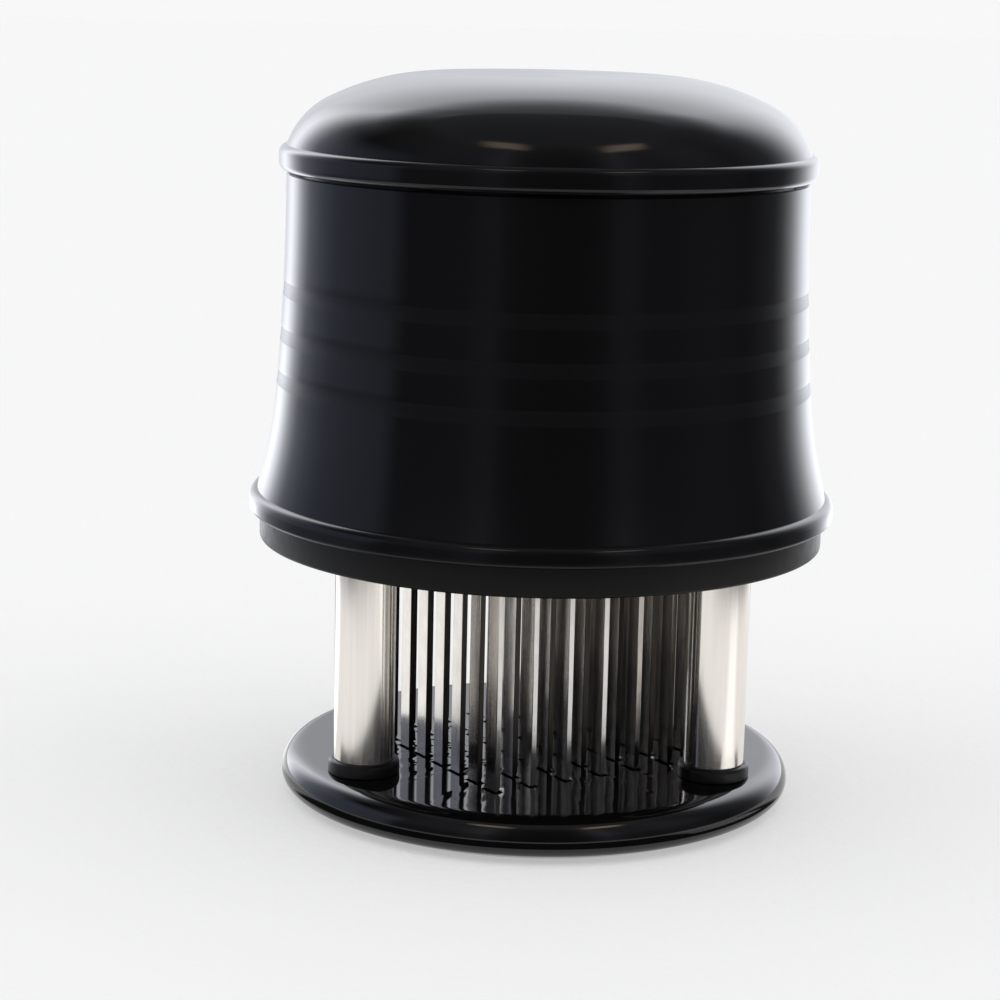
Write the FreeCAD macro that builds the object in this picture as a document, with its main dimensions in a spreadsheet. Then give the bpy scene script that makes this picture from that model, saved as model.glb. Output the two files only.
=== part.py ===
import FreeCAD, Part
import os
import re
import Sketcher

# A round, spring-loaded blade tenderizer. The guard plate stands on the table and carries three
# steel posts. The hollow head slides down the posts, and its rows of flat blades pass through
# the slots of the guard plate.
# The axis of the object is Z, with z = 0 under the guard plate. All sizes are in millimetres.

ROWS = 7
TEETH = 8
POST_ANGLES = (-150, -30, 90)
BOSS_ANGLES = (-90, 30, 150)

SIZES = {
    # Blade rows
    "rowAngle": 30,
    "rowPitch": 6.8,
    "toothPitch": 5.6,
    "toothWidth": 2.9,
    "bladeThickness": 1.0,
    "tipDepth": 0.5,
    "tipBevelHeight": 1.4,
    "tipLand": 0.2,
    "spineHeight": 5.0,
    "spineOverhang": 0.4,
    # Guard plate
    "plateThickness": 7.4,
    "plateRimHeight": 3.5,
    "plateBevelWidth": 2.5,
    "plateBevelHeight": 1.1,
    "plateLowerRound": 1.9,
    "plateUpperRound": 3.9,
    "slotClearance": 0.45,
    # Posts and what is on them
    "postRadius": 5.0,
    "postRowGap": 0.25,
    "postSocketDepth": 3.2,
    "postFit": 0.05,
    "postTapDepth": 9.0,
    "collarWall": 0.9,
    "collarHeight": 2.3,
    "collarRound": 0.7,
    "stopFlangeWidth": 2.0,
    "stopFlangeHeight": 2.0,
    "stopSpigotInset": 0.6,
    "stopSpigotHeight": 3.0,
    "stopClearance": 0.1,
    # Bell-shaped skirt, from its lower edge upwards
    "openHeight": 36.8,
    "lipHeight": 4.9,
    "lipRound": 0.5,
    "lipInset": 0.45,
    "ringProjection": 1.28,
    "ringLowerRound": 0.5,
    "ringFlat": 1.3,
    "ringUpperRound": 1.6,
    "flareHeight": 15.5,
    "flareRadius": 78.0,
    "sweepHeight": 36.8,
    "sweepRadius": 420.0,
    "wall": 2.4,
    "neckClearance": 0.75,
    "bandRiseLow": 3.4,
    "bandRiseMid": 10.6,
    "bandRiseHigh": 18.1,
    "bandWidth": 2.4,
    "bandDepth": 0.15,
    "webRecess": 1.2,
    "webThickness": 2.7,
    "webOpeningRadius": 20.0,
    "cupWall": 1.5,
    "cupHeight": 4.0,
    # Dome cap, from the seam upwards
    "domeSeam": 0.4,
    "domeRimProjection": 1.25,
    "domeRimLowerRound": 1.2,
    "domeRimFlat": 1.6,
    "domeRimUpperRound": 1.3,
    "domeStepWidth": 0.25,
    "domeStepHeight": 0.6,
    "domeShoulderWidth": 6.4,
    "domeShoulderHeight": 7.0,
    "domeCrownHeight": 4.5,
    "domeFlatRadius": 17.7,
    "domeWall": 2.5,
    "domeSpigotWall": 1.8,
    "domeSpigotFit": 0.15,
    # Blade carrier, clamp and guide bushes
    "carrierInset": 0.8,
    "carrierThickness": 5.0,
    "carrierFit": 0.15,
    "seatWidth": 2.0,
    "seatHeight": 2.0,
    "toothFit": 0.1,
    "clampRoof": 2.4,
    "clampMarginAcross": 8.0,
    "clampMarginAlong": 1.6,
    "clampCornerRadius": 4.0,
    "clampScrewInset": 3.9,
    "clampScrewAlong": 12.0,
    "spineFit": 0.1,
    "notchGap": 0.6,
    "bushWall": 1.22,
    "bushHeight": 7.0,
    "bushFlangeWidth": 1.0,
    "bushFlangeHeight": 1.5,
    "bushRunningFit": 0.08,
    "bushFit": 0.02,
    # Springs
    "springMeanRadius": 5.6,
    "springWireRadius": 0.4,
    "springTurns": 7,
    "springFit": 0.5,
    # Screws and the bosses that they go into
    "largeHeadRadius": 3.4,
    "largeHeadHeight": 1.9,
    "largeShankRadius": 1.6,
    "largeSocketRadius": 1.7,
    "smallHeadRadius": 2.6,
    "smallHeadHeight": 1.5,
    "smallShankRadius": 1.3,
    "smallSocketRadius": 1.3,
    "socketDepth": 0.9,
    "threadLength": 8.0,
    "clampThreadLength": 3.5,
    "holeClearance": 0.15,
    "headClearance": 0.3,
    "threadFit": 0.05,
    "bossRadius": 3.4,
    "bossTapDepth": 10.0,
    "carrierBossInset": 4.0,
    "carrierBossHeight": 12.0,
    "capBossPitchRadius": 26.0,
}

doc = FreeCAD.newDocument("BladeTenderizer")
sheet = doc.addObject("Spreadsheet::Sheet", "Sizes")
for line, (alias, size) in enumerate(SIZES.items(), start=1):
    sheet.set(f"A{line}", alias)
    sheet.set(f"B{line}", str(size))
    sheet.setAlias(f"B{line}", alias)
doc.recompute()

finished = []


def named(expression):
    """Puts the sheet's name before every size that an expression uses."""
    return re.sub(r"[A-Za-z]\w*", lambda word: "Sizes." * (word[0] in SIZES) + word[0], str(expression))


def value(expression):
    return float(sheet.evalExpression(named(expression)))


# ---------------------------------------------------------------- shared radii and heights

FIRST_ROW = f"(-rowPitch * {(ROWS - 1) / 2})"
FIRST_TOOTH = f"(-toothPitch * {(TEETH - 1) / 2})"
SPINE_HALF = f"(toothWidth / 2 + spineOverhang - {FIRST_TOOTH})"

# Two of the posts stand 60 degrees off the line of the rows, just clear of the ends of the spines
COLLAR_RADIUS = "(postRadius + collarWall)"
BUSH_RADIUS = "(postRadius + bushRunningFit + bushWall)"
BUSH_FLANGE_RADIUS = f"({BUSH_RADIUS} + bushFlangeWidth)"
POST_PITCH = f"(({SPINE_HALF} + {BUSH_FLANGE_RADIUS} + postRowGap) / sin(60))"

PLATE_RADIUS = f"({POST_PITCH} + {COLLAR_RADIUS} + plateUpperRound)"
CUP_BORE = "(springMeanRadius + springWireRadius + springFit)"
NECK_RADIUS = f"({POST_PITCH} + {CUP_BORE} + neckClearance + wall)"
NECK_BORE = f"({NECK_RADIUS} - wall)"

POST_FOOT = "(plateThickness - postSocketDepth)"
COLLAR_TOP = "(plateThickness + collarHeight)"
LIP_FOOT = "(plateThickness + openHeight)"
RING_FOOT = f"({LIP_FOOT} + lipHeight)"
RING_TOP = f"({RING_FOOT} + ringLowerRound + ringFlat + ringUpperRound)"
SWEEP_FOOT = f"({RING_TOP} + flareHeight)"
SEAM = f"({SWEEP_FOOT} + sweepHeight)"
WEB_TOP = f"({SEAM} - webRecess)"
WEB_FOOT = f"({WEB_TOP} - webThickness)"
CARRIER_FOOT = f"({LIP_FOOT} + carrierInset)"
CARRIER_TOP = f"({CARRIER_FOOT} + carrierThickness)"
CLAMP_TOP = f"({CARRIER_TOP} + spineHeight + spineFit + clampRoof)"
BUSH_TOP = f"({CARRIER_TOP} + bushHeight)"
POST_TOP = f"({BUSH_TOP} + stopClearance)"
STOP_TOP = f"({POST_TOP} + stopFlangeHeight)"
SPIGOT_TOP = f"({STOP_TOP} + stopSpigotHeight)"
STEP_TOP = (f"({SEAM} + domeSeam + domeRimLowerRound + domeRimFlat + domeRimUpperRound"
            " + domeStepHeight)")
DOME_TOP = f"({STEP_TOP} + domeShoulderHeight + domeCrownHeight)"

# The sweep is upright at the seam, and the flare below it carries on in the same direction
SWEEP_AXIS = f"({NECK_RADIUS} + sweepRadius)"
SWEEP_FOOT_RADIUS = f"({SWEEP_AXIS} - sqrt(sweepRadius^2 - sweepHeight^2))"
FLARE_SHARE = "(flareRadius / sweepRadius)"
FLARE_AXIS = f"({SWEEP_FOOT_RADIUS} + ({SWEEP_AXIS} - {SWEEP_FOOT_RADIUS}) * {FLARE_SHARE})"
FLARE_RISE = f"(flareHeight + sweepHeight * {FLARE_SHARE})"
FLARE_FOOT_RADIUS = f"({FLARE_AXIS} - sqrt(flareRadius^2 - {FLARE_RISE}^2))"
RING_RADIUS = f"({FLARE_FOOT_RADIUS} + ringProjection)"
LIP_RADIUS = f"({FLARE_FOOT_RADIUS} - lipInset)"
MOUTH_RADIUS = f"({LIP_RADIUS} - wall)"
CARRIER_BOSS_PITCH = f"({MOUTH_RADIUS} - carrierBossInset)"

CLAMP_HALF_ACROSS = f"(bladeThickness / 2 + clampMarginAcross - {FIRST_ROW})"
CLAMP_HALF_ALONG = f"({SPINE_HALF} + clampMarginAlong)"
CLAMP_SCREW_ACROSS = f"({CLAMP_HALF_ACROSS} - clampScrewInset)"

LARGE_HOLE = "(largeShankRadius + holeClearance)"
LARGE_TAP = "(largeShankRadius + threadFit)"
SMALL_HOLE = "(smallShankRadius + holeClearance)"
SMALL_TAP = "(smallShankRadius + threadFit)"
SMALL_SINK = "(smallHeadRadius + headClearance)"


def upright_arc(run, rise):
    """Radius of an arc that is upright at one end and is this wide and this high."""
    return f"(({run})^2 + ({rise})^2) / (2 * ({run}))"


# ---------------------------------------------------------------- sketches and features

def new_body(label):
    body = doc.addObject("PartDesign::Body", label)
    body.Label = label
    return body


def new_sketch(body, name, role="XY_Plane", height="0", turn="0"):
    sketch = body.newObject("Sketcher::SketchObject", name)
    plane = next(feature for feature in body.Origin.OriginFeatures if feature.Role == role)
    sketch.AttachmentSupport = (plane, [""])
    sketch.MapMode = "FlatFace"
    sketch.AttachmentOffset.Rotation.Axis = FreeCAD.Vector(0, 0, 1)
    sketch.setExpression("AttachmentOffset.Base.z", named(height))
    sketch.setExpression("AttachmentOffset.Rotation.Angle", named(turn))
    return sketch


def bind(sketch, constraint, expression):
    number = sketch.addConstraint(constraint)
    sketch.setExpression(f"Constraints[{number}]", named(expression))


def pin(sketch, edge, point, x, y):
    """Ties a point of the sketch to the sizes, measured from the sketch's origin."""
    for kind, expression in (("DistanceX", x), ("DistanceY", y)):
        bind(sketch, Sketcher.Constraint(kind, -1, 1, edge, point, value(expression)), expression)


def draw_outline(sketch, corners):
    """Closed outline. A corner is (x, y), with a line to the next one, or (x, y, radius), with
    an arc to the next one that bulges to the right of its way, or to the left if negative."""
    points = [FreeCAD.Vector(value(corner[0]), value(corner[1]), 0) for corner in corners]
    edges = []
    for start, end, corner in zip(points, points[1:] + points[:1], corners):
        if len(corner) == 2:
            edges.append((sketch.addGeometry(Part.LineSegment(start, end)), 1, 2))
            continue
        chord = end - start
        radius = value(corner[2])
        height = abs(radius) - (radius ** 2 - chord.Length ** 2 / 4) ** 0.5
        side = FreeCAD.Vector(chord.y, -chord.x, 0).normalize() * (height if radius > 0 else -height)
        edge = sketch.addGeometry(Part.Arc(start, (start + end) * 0.5 + side, end))
        edges.append((edge, 1, 2) if radius > 0 else (edge, 2, 1))
    for (edge, first, last), (after, start, end) in zip(edges, edges[1:] + edges[:1]):
        sketch.addConstraint(Sketcher.Constraint("Coincident", edge, last, after, start))
    for (edge, first, last), corner in zip(edges, corners):
        pin(sketch, edge, first, corner[0], corner[1])
        if len(corner) == 3:
            radius = f"abs({corner[2]})"
            bind(sketch, Sketcher.Constraint("Radius", edge, value(radius)), radius)


def draw_box(sketch, x, y, width, length):
    """Rectangle of the given width and length about the point (x, y)."""
    left, right = f"{x} - ({width}) / 2", f"{x} + ({width}) / 2"
    low, high = f"{y} - ({length}) / 2", f"{y} + ({length}) / 2"
    draw_outline(sketch, [(left, low), (right, low), (right, high), (left, high)])


def draw_circle(sketch, x, y, radius):
    centre = FreeCAD.Vector(value(x), value(y), 0)
    circle = sketch.addGeometry(Part.Circle(centre, FreeCAD.Vector(0, 0, 1), value(radius)))
    pin(sketch, circle, 3, x, y)
    bind(sketch, Sketcher.Constraint("Radius", circle, value(radius)), radius)


def turned(body, name, corners, kind="PartDesign::Revolution"):
    sketch = new_sketch(body, name + "Outline", "XZ_Plane")
    draw_outline(sketch, corners)
    feature = body.newObject(kind, name)
    feature.Profile = sketch
    feature.ReferenceAxis = (sketch, ["V_Axis"])
    feature.Angle = 360
    doc.recompute()


def pad(body, name, sketch, length, midplane=False, downward=False):
    feature = body.newObject("PartDesign::Pad", name)
    feature.Profile = sketch
    feature.SideType = "Symmetric" if midplane else "One side"
    feature.Reversed = downward
    feature.setExpression("Length", named(length))
    doc.recompute()
    return feature


def pocket(body, name, sketch, rise=None, drop=None):
    """Cuts up from the sketch by the rise, down by the drop, or right through the body."""
    feature = body.newObject("PartDesign::Pocket", name)
    feature.Profile = sketch
    if rise or drop:
        feature.Reversed = bool(rise)
        feature.setExpression("Length", named(rise or drop))
    else:
        feature.Type = "ThroughAll"
        feature.SideType = "Symmetric"
    doc.recompute()
    return feature


def around(body, feature):
    """Repeats a feature three times about the axis of the object."""
    pattern = body.newObject("PartDesign::PolarPattern", feature.Name + "s")
    pattern.Originals = [feature]
    pattern.Axis = (feature.Profile[0], ["N_Axis"])
    pattern.Angle = 360
    pattern.Occurrences = len(POST_ANGLES)
    body.Tip = pattern
    doc.recompute()


def repeat(body, feature, pitch, copies):
    """Repeats a feature along the first axis of its sketch."""
    pattern = body.newObject("PartDesign::LinearPattern", feature.Name + "s")
    pattern.Originals = [feature]
    pattern.Direction = (feature.Profile[0], ["H_Axis"])
    pattern.Mode = "Spacing"
    pattern.Occurrences = copies
    pattern.setExpression("Offset", named(pitch))
    body.Tip = pattern
    doc.recompute()


def holes(body, name, height, pitch, angle, radius, rise=None):
    """Three round holes on a pitch circle, up from a height by the rise, or right through."""
    sketch = new_sketch(body, name + "Outline", height=height)
    draw_circle(sketch, f"{pitch} * cos({angle})", f"{pitch} * sin({angle})", radius)
    around(body, pocket(body, name, sketch, rise))


def slots(body, name, clearance):
    """One slot for each tooth, longer and wider than the tooth by the clearance all round."""
    sketch = new_sketch(body, name + "Outline", turn="rowAngle")
    for tooth in range(TEETH):
        draw_box(sketch, FIRST_ROW, f"({FIRST_TOOTH} + toothPitch * {tooth})",
                 f"bladeThickness + 2 * {clearance}", f"toothWidth + 2 * {clearance}")
    repeat(body, pocket(body, name, sketch), "rowPitch", ROWS)


def move_to(feature, radius, angle, height, aside="0"):
    """Moves out along the angle by the radius, and to the left of that way by aside."""
    x = f"({radius}) * cos({angle}) - ({aside}) * sin({angle})"
    y = f"({radius}) * sin({angle}) + ({aside}) * cos({angle})"
    for axis, expression in (("x", x), ("y", y), ("z", height)):
        feature.setExpression(f"Placement.Base.{axis}", named(expression))


def cylinder(name, radius, length):
    shape = doc.addObject("Part::Cylinder", name)
    shape.setExpression("Radius", named(radius))
    shape.setExpression("Height", named(length))
    return shape


def cut(name, base, tools):
    for number, tool in enumerate(tools, start=1):
        difference = doc.addObject("Part::Cut", f"{name}Cut{number}")
        difference.Base = base
        difference.Tool = tool
        base = difference
    return base


def finish(feature, label):
    feature.Label = label
    finished.append(feature)


# ---------------------------------------------------------------- guard: plate, posts, collars

def guard_plate():
    """Thick round plate with a rounded edge, a slot for each tooth and a socket for each post."""
    body = new_body("guard_plate")
    turned(body, "PlateDisc", [
        ("0", "0"),
        (f"{PLATE_RADIUS} - plateLowerRound - plateBevelWidth", "0"),
        (f"{PLATE_RADIUS} - plateLowerRound", "plateBevelHeight",
         upright_arc("plateLowerRound", "plateRimHeight - plateBevelHeight")),
        (PLATE_RADIUS, "plateRimHeight",
         upright_arc("plateUpperRound", "plateThickness - plateRimHeight")),
        (f"{PLATE_RADIUS} - plateUpperRound", "plateThickness"),
        ("0", "plateThickness"),
    ])
    angle = POST_ANGLES[0]
    holes(body, "PostSocket", POST_FOOT, POST_PITCH, angle, "postRadius + postFit", "postSocketDepth")
    holes(body, "ScrewHole", "0", POST_PITCH, angle, LARGE_HOLE, "plateThickness")
    holes(body, "ScrewSink", "0", POST_PITCH, angle, "largeHeadRadius + headClearance",
          "largeHeadHeight + headClearance")
    slots(body, "GuardSlot", "slotClearance")
    finish(body, "guard_plate")


def post(number, angle):
    rod = cylinder(f"PostRod{number}", "postRadius", f"{POST_TOP} - {POST_FOOT}")
    foot_tap = cylinder(f"PostFootTap{number}", LARGE_TAP, "postTapDepth")
    top_tap = cylinder(f"PostTopTap{number}", LARGE_TAP, "postTapDepth")
    for shape, height in ((rod, POST_FOOT), (foot_tap, POST_FOOT), (top_tap, f"{POST_TOP} - postTapDepth")):
        move_to(shape, POST_PITCH, angle, height)
    finish(cut(f"Post{number}", rod, [foot_tap, top_tap]), f"post_{number}")


def ring(label, angle, corners):
    """A turned ring about one of the posts."""
    body = new_body(label)
    turned(body, "Turned_" + label, corners)
    move_to(body, POST_PITCH, angle, "0")
    finish(body, label)


def post_collar(number, angle):
    ring(f"post_collar_{number}", angle, [
        ("postRadius + postFit", "plateThickness"),
        (COLLAR_RADIUS, "plateThickness"),
        (COLLAR_RADIUS, f"{COLLAR_TOP} - collarRound", "collarRound"),
        (f"{COLLAR_RADIUS} - collarRound", COLLAR_TOP),
        ("postRadius + postFit", COLLAR_TOP),
    ])


def stop_cap(number, angle):
    """Flanged cap on the end of a post: it stops the guide bush and centres the spring."""
    spigot_radius = "(springMeanRadius - springWireRadius - stopSpigotInset)"
    ring(f"stop_cap_{number}", angle, [
        (LARGE_HOLE, POST_TOP),
        ("postRadius + stopFlangeWidth", POST_TOP),
        ("postRadius + stopFlangeWidth", STOP_TOP),
        (spigot_radius, STOP_TOP),
        (spigot_radius, SPIGOT_TOP),
        (LARGE_HOLE, SPIGOT_TOP),
    ])


# ---------------------------------------------------------------- springs and screws

def spring(number, angle):
    """Compression spring between a stop cap and the web of the skirt, its wire drawn six-sided."""
    length = f"({WEB_FOOT} - {STOP_TOP} - 2 * springWireRadius)"
    coil = doc.addObject("Part::Helix", f"Coil{number}")
    coil.setExpression("Radius", named("springMeanRadius"))
    coil.setExpression("Height", named(length))
    coil.setExpression("Pitch", named(f"{length} / springTurns"))
    wire = doc.addObject("Part::RegularPolygon", f"Wire{number}")
    wire.Polygon = 6
    wire.setExpression("Circumradius", named("springWireRadius"))
    wire.Placement.Rotation = FreeCAD.Rotation(FreeCAD.Vector(1, 0, 0), 90)
    wire.setExpression("Placement.Base.x", named("springMeanRadius"))
    doc.recompute()
    sweep = doc.addObject("Part::Sweep", f"spring_{number}")
    sweep.Sections = [wire]
    sweep.Spine = (coil, [f"Edge{edge}" for edge in range(1, len(coil.Shape.Edges) + 1)])
    sweep.Solid = True
    sweep.Frenet = True
    move_to(sweep, POST_PITCH, angle, f"{STOP_TOP} + springWireRadius")
    finish(sweep, f"spring_{number}")


def screw(name, place, seat, points_up, size, length):
    """Cap screw with a hexagon socket, whose head bears on its seat."""
    head = cylinder(name + "Head", f"{size}HeadRadius", f"{size}HeadHeight")
    shank = cylinder(name + "Shank", f"{size}ShankRadius", length)
    socket = doc.addObject("Part::Prism", name + "Socket")
    socket.Polygon = 6
    socket.setExpression("Circumradius", named(f"{size}SocketRadius"))
    socket.setExpression("Height", named("socketDepth"))
    if points_up:
        heights = f"{seat} - {size}HeadHeight", seat, f"{seat} - {size}HeadHeight"
    else:
        heights = seat, f"{seat} - ({length})", f"{seat} + {size}HeadHeight - socketDepth"
    radius, angle, aside = place
    for shape, height in zip((head, shank, socket), heights):
        move_to(shape, radius, angle, height, aside)
    solid = doc.addObject("Part::Fuse", name + "Solid")
    solid.Base = head
    solid.Tool = shank
    return cut(name, solid, [socket])


def screw_group(label, places, seat, points_up, size, length):
    """Equal screws as one group: each place is a radius, an angle and a distance aside."""
    group = doc.addObject("Part::Compound", label)
    group.Links = [
        screw(f"{label}{number}", place, seat, points_up, size, length)
        for number, place in enumerate(places, start=1)
    ]
    finish(group, label)


def all_screws():
    posts = [(POST_PITCH, angle, "0") for angle in POST_ANGLES]
    carrier_bosses = [(CARRIER_BOSS_PITCH, angle, "0") for angle in BOSS_ANGLES]
    cap_bosses = [("capBossPitchRadius", angle, "0") for angle in BOSS_ANGLES]
    clamp_corners = [(across + CLAMP_SCREW_ACROSS, "rowAngle", along + "clampScrewAlong")
                     for across in ("-", "") for along in ("-", "")]
    carrier_seat = f"({CARRIER_FOOT} + smallHeadHeight + headClearance)"
    screw_group("post_screws", posts, "(largeHeadHeight + headClearance)", True, "large", "threadLength")
    screw_group("stop_screws", posts, SPIGOT_TOP, False, "large",
                "threadLength + stopFlangeHeight + stopSpigotHeight")
    screw_group("carrier_screws", carrier_bosses, carrier_seat, True, "small",
                f"threadLength + {CARRIER_TOP} - {carrier_seat}")
    screw_group("cap_screws", cap_bosses, WEB_FOOT, True, "small", "threadLength + webThickness")
    screw_group("clamp_screws", clamp_corners, CLAMP_TOP, False, "small",
                f"clampThreadLength + {CLAMP_TOP} - {CARRIER_TOP}")


# ---------------------------------------------------------------- head: blades and what holds them

def blade_comb(number):
    """One row of teeth stamped in one piece with the spine that holds them."""
    body = new_body(f"blade_comb_{number}")
    body.setExpression("Placement.Rotation.Angle", named("rowAngle + 90"))
    across = f"({FIRST_ROW} + rowPitch * {number - 1})"
    tip = "(plateThickness - tipDepth)"
    spine = new_sketch(body, f"Spine{number}Outline", "XZ_Plane", across)
    draw_box(spine, "0", f"({CARRIER_TOP} + spineHeight / 2)", f"2 * {SPINE_HALF}", "spineHeight")
    pad(body, f"Spine{number}", spine, "bladeThickness", midplane=True)
    tooth = new_sketch(body, f"Tooth{number}Outline", "XZ_Plane", across)
    draw_box(tooth, FIRST_TOOTH, f"(({CARRIER_TOP} + {tip}) / 2)", "toothWidth", f"{CARRIER_TOP} - {tip}")
    repeat(body, pad(body, f"Tooth{number}Form", tooth, "bladeThickness", midplane=True),
           "toothPitch", TEETH)
    bevel = new_sketch(body, f"Bevel{number}Outline", "YZ_Plane")
    face = f"(-{across} - bladeThickness / 2)"
    draw_outline(bevel, [
        (face, tip),
        (f"{face} + bladeThickness - tipLand", tip),
        (face, f"{tip} + tipBevelHeight"),
    ])
    pocket(body, f"Bevel{number}", bevel)
    finish(body, f"blade_comb_{number}")


def clamp_corner_holes(body, name, height, radius, drop=None):
    sketch = new_sketch(body, name + "Outline", height=height, turn="rowAngle")
    for across in ("-", ""):
        for along in ("-", ""):
            draw_circle(sketch, across + CLAMP_SCREW_ACROSS, along + "clampScrewAlong", radius)
    pocket(body, name, sketch, drop=drop)


def blade_carrier():
    """Disc in the mouth of the skirt: the teeth pass through it and the spines stand on it."""
    body = new_body("blade_carrier")
    edge = f"({MOUTH_RADIUS} - carrierFit)"
    turned(body, "CarrierDisc", [
        ("0", CARRIER_FOOT),
        (edge, CARRIER_FOOT),
        (edge, CARRIER_TOP),
        ("0", CARRIER_TOP),
    ])
    post_angle, boss_angle = POST_ANGLES[0], BOSS_ANGLES[0]
    holes(body, "BushBore", "0", POST_PITCH, post_angle, f"{BUSH_RADIUS} + bushFit")
    holes(body, "BushSeat", CARRIER_FOOT, POST_PITCH, post_angle,
          f"{BUSH_FLANGE_RADIUS} + bushFit", "bushFlangeHeight")
    holes(body, "CarrierHole", "0", CARRIER_BOSS_PITCH, boss_angle, SMALL_HOLE)
    holes(body, "CarrierSink", CARRIER_FOOT, CARRIER_BOSS_PITCH, boss_angle, SMALL_SINK,
          "smallHeadHeight + headClearance")
    clamp_corner_holes(body, "ClampTaps", CARRIER_TOP, SMALL_TAP, "clampThreadLength")
    slots(body, "CarrierSlot", "toothFit")
    finish(body, "blade_carrier")


def blade_clamp():
    """Lid over the spines, with a groove for each, notched round the three bushes."""
    body = new_body("blade_clamp")
    outline = new_sketch(body, "ClampOutline", height=CARRIER_TOP, turn="rowAngle")
    near_across = f"({CLAMP_HALF_ACROSS} - clampCornerRadius)"
    near_along = f"({CLAMP_HALF_ALONG} - clampCornerRadius)"
    draw_outline(outline, [
        (f"-{near_across}", f"-{CLAMP_HALF_ALONG}"),
        (near_across, f"-{CLAMP_HALF_ALONG}", "clampCornerRadius"),
        (CLAMP_HALF_ACROSS, f"-{near_along}"),
        (CLAMP_HALF_ACROSS, near_along, "clampCornerRadius"),
        (near_across, CLAMP_HALF_ALONG),
        (f"-{near_across}", CLAMP_HALF_ALONG, "clampCornerRadius"),
        (f"-{CLAMP_HALF_ACROSS}", near_along),
        (f"-{CLAMP_HALF_ACROSS}", f"-{near_along}", "clampCornerRadius"),
    ])
    pad(body, "ClampPlate", outline, f"{CLAMP_TOP} - {CARRIER_TOP}")
    holes(body, "StopNotch", "0", POST_PITCH, POST_ANGLES[0], "postRadius + stopFlangeWidth + notchGap")
    clamp_corner_holes(body, "ClampHoles", "0", SMALL_HOLE)
    groove = new_sketch(body, "SpineGrooveOutline", height=CARRIER_TOP, turn="rowAngle")
    draw_box(groove, FIRST_ROW, "0", "bladeThickness + 2 * spineFit", f"2 * ({SPINE_HALF} + spineFit)")
    repeat(body, pocket(body, "SpineGroove", groove, "spineHeight + spineFit"), "rowPitch", ROWS)
    finish(body, "blade_clamp")


def guide_bush(number, angle):
    bore = "postRadius + bushRunningFit"
    ring(f"guide_bush_{number}", angle, [
        (bore, CARRIER_FOOT),
        (BUSH_FLANGE_RADIUS, CARRIER_FOOT),
        (BUSH_FLANGE_RADIUS, f"{CARRIER_FOOT} + bushFlangeHeight"),
        (BUSH_RADIUS, f"{CARRIER_FOOT} + bushFlangeHeight"),
        (BUSH_RADIUS, BUSH_TOP),
        (bore, BUSH_TOP),
    ])


# ---------------------------------------------------------------- head: skirt and dome

def sweep_radius(rise):
    """Outer radius of the skirt at a height above the foot of its sweep."""
    return f"({SWEEP_AXIS} - sqrt(sweepRadius^2 - (sweepHeight - ({rise}))^2))"


def grip_band(body, name):
    """Shallow band sunk evenly into the sweep of the skirt."""
    low, high = f"(bandRise{name} - bandWidth / 2)", f"(bandRise{name} + bandWidth / 2)"
    turned(body, f"GripBand{name}", [
        (f"{sweep_radius(low)} - bandDepth", f"{SWEEP_FOOT} + {low}"),
        (RING_RADIUS, f"{SWEEP_FOOT} + {low}"),
        (RING_RADIUS, f"{SWEEP_FOOT} + {high}"),
        (f"{sweep_radius(high)} - bandDepth", f"{SWEEP_FOOT} + {high}"),
    ], "PartDesign::Groove")


def skirt_shell():
    """Bell-shaped body: a lip, a rounded ring, a concave sweep and a web that closes its neck."""
    body = new_body("skirt_shell")
    seat_bore = f"({MOUTH_RADIUS} - seatWidth)"
    turned(body, "Bell", [
        (MOUTH_RADIUS, LIP_FOOT),
        (f"{LIP_RADIUS} - lipRound", LIP_FOOT, "lipRound"),
        (LIP_RADIUS, f"{LIP_FOOT} + lipRound"),
        (LIP_RADIUS, RING_FOOT),
        (f"{RING_RADIUS} - ringLowerRound", RING_FOOT, "ringLowerRound"),
        (RING_RADIUS, f"{RING_FOOT} + ringLowerRound"),
        (RING_RADIUS, f"{RING_TOP} - ringUpperRound", upright_arc("ringProjection", "ringUpperRound")),
        (FLARE_FOOT_RADIUS, RING_TOP, "-flareRadius"),
        (SWEEP_FOOT_RADIUS, SWEEP_FOOT, "-sweepRadius"),
        (NECK_RADIUS, SEAM),
        (NECK_BORE, SEAM),
        (NECK_BORE, WEB_TOP),
        ("webOpeningRadius", WEB_TOP),
        ("webOpeningRadius", WEB_FOOT),
        (NECK_BORE, WEB_FOOT, "sweepRadius"),
        (f"{SWEEP_FOOT_RADIUS} - wall", SWEEP_FOOT, "flareRadius"),
        (MOUTH_RADIUS, RING_TOP),
        (seat_bore, f"{CARRIER_TOP} + seatHeight"),
        (seat_bore, CARRIER_TOP),
        (MOUTH_RADIUS, CARRIER_TOP),
    ])
    cup = new_sketch(body, "SpringCupOutline", height=WEB_FOOT)
    cup_place = (f"{POST_PITCH} * cos({POST_ANGLES[0]})", f"{POST_PITCH} * sin({POST_ANGLES[0]})")
    draw_circle(cup, *cup_place, CUP_BORE)
    draw_circle(cup, *cup_place, f"{CUP_BORE} + cupWall")
    around(body, pad(body, "SpringCup", cup, "cupHeight", downward=True))
    boss = new_sketch(body, "CarrierBossOutline", height=CARRIER_TOP)
    draw_circle(boss, f"{CARRIER_BOSS_PITCH} * cos({BOSS_ANGLES[0]})",
                f"{CARRIER_BOSS_PITCH} * sin({BOSS_ANGLES[0]})", "bossRadius")
    around(body, pad(body, "CarrierBoss", boss, "carrierBossHeight"))
    holes(body, "CarrierTap", CARRIER_TOP, CARRIER_BOSS_PITCH, BOSS_ANGLES[0], SMALL_TAP, "bossTapDepth")
    holes(body, "CapHole", WEB_FOOT, "capBossPitchRadius", BOSS_ANGLES[0], SMALL_HOLE, "webThickness")
    for name in ("Low", "Mid", "High"):
        grip_band(body, name)
    finish(body, "skirt_shell")


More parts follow.
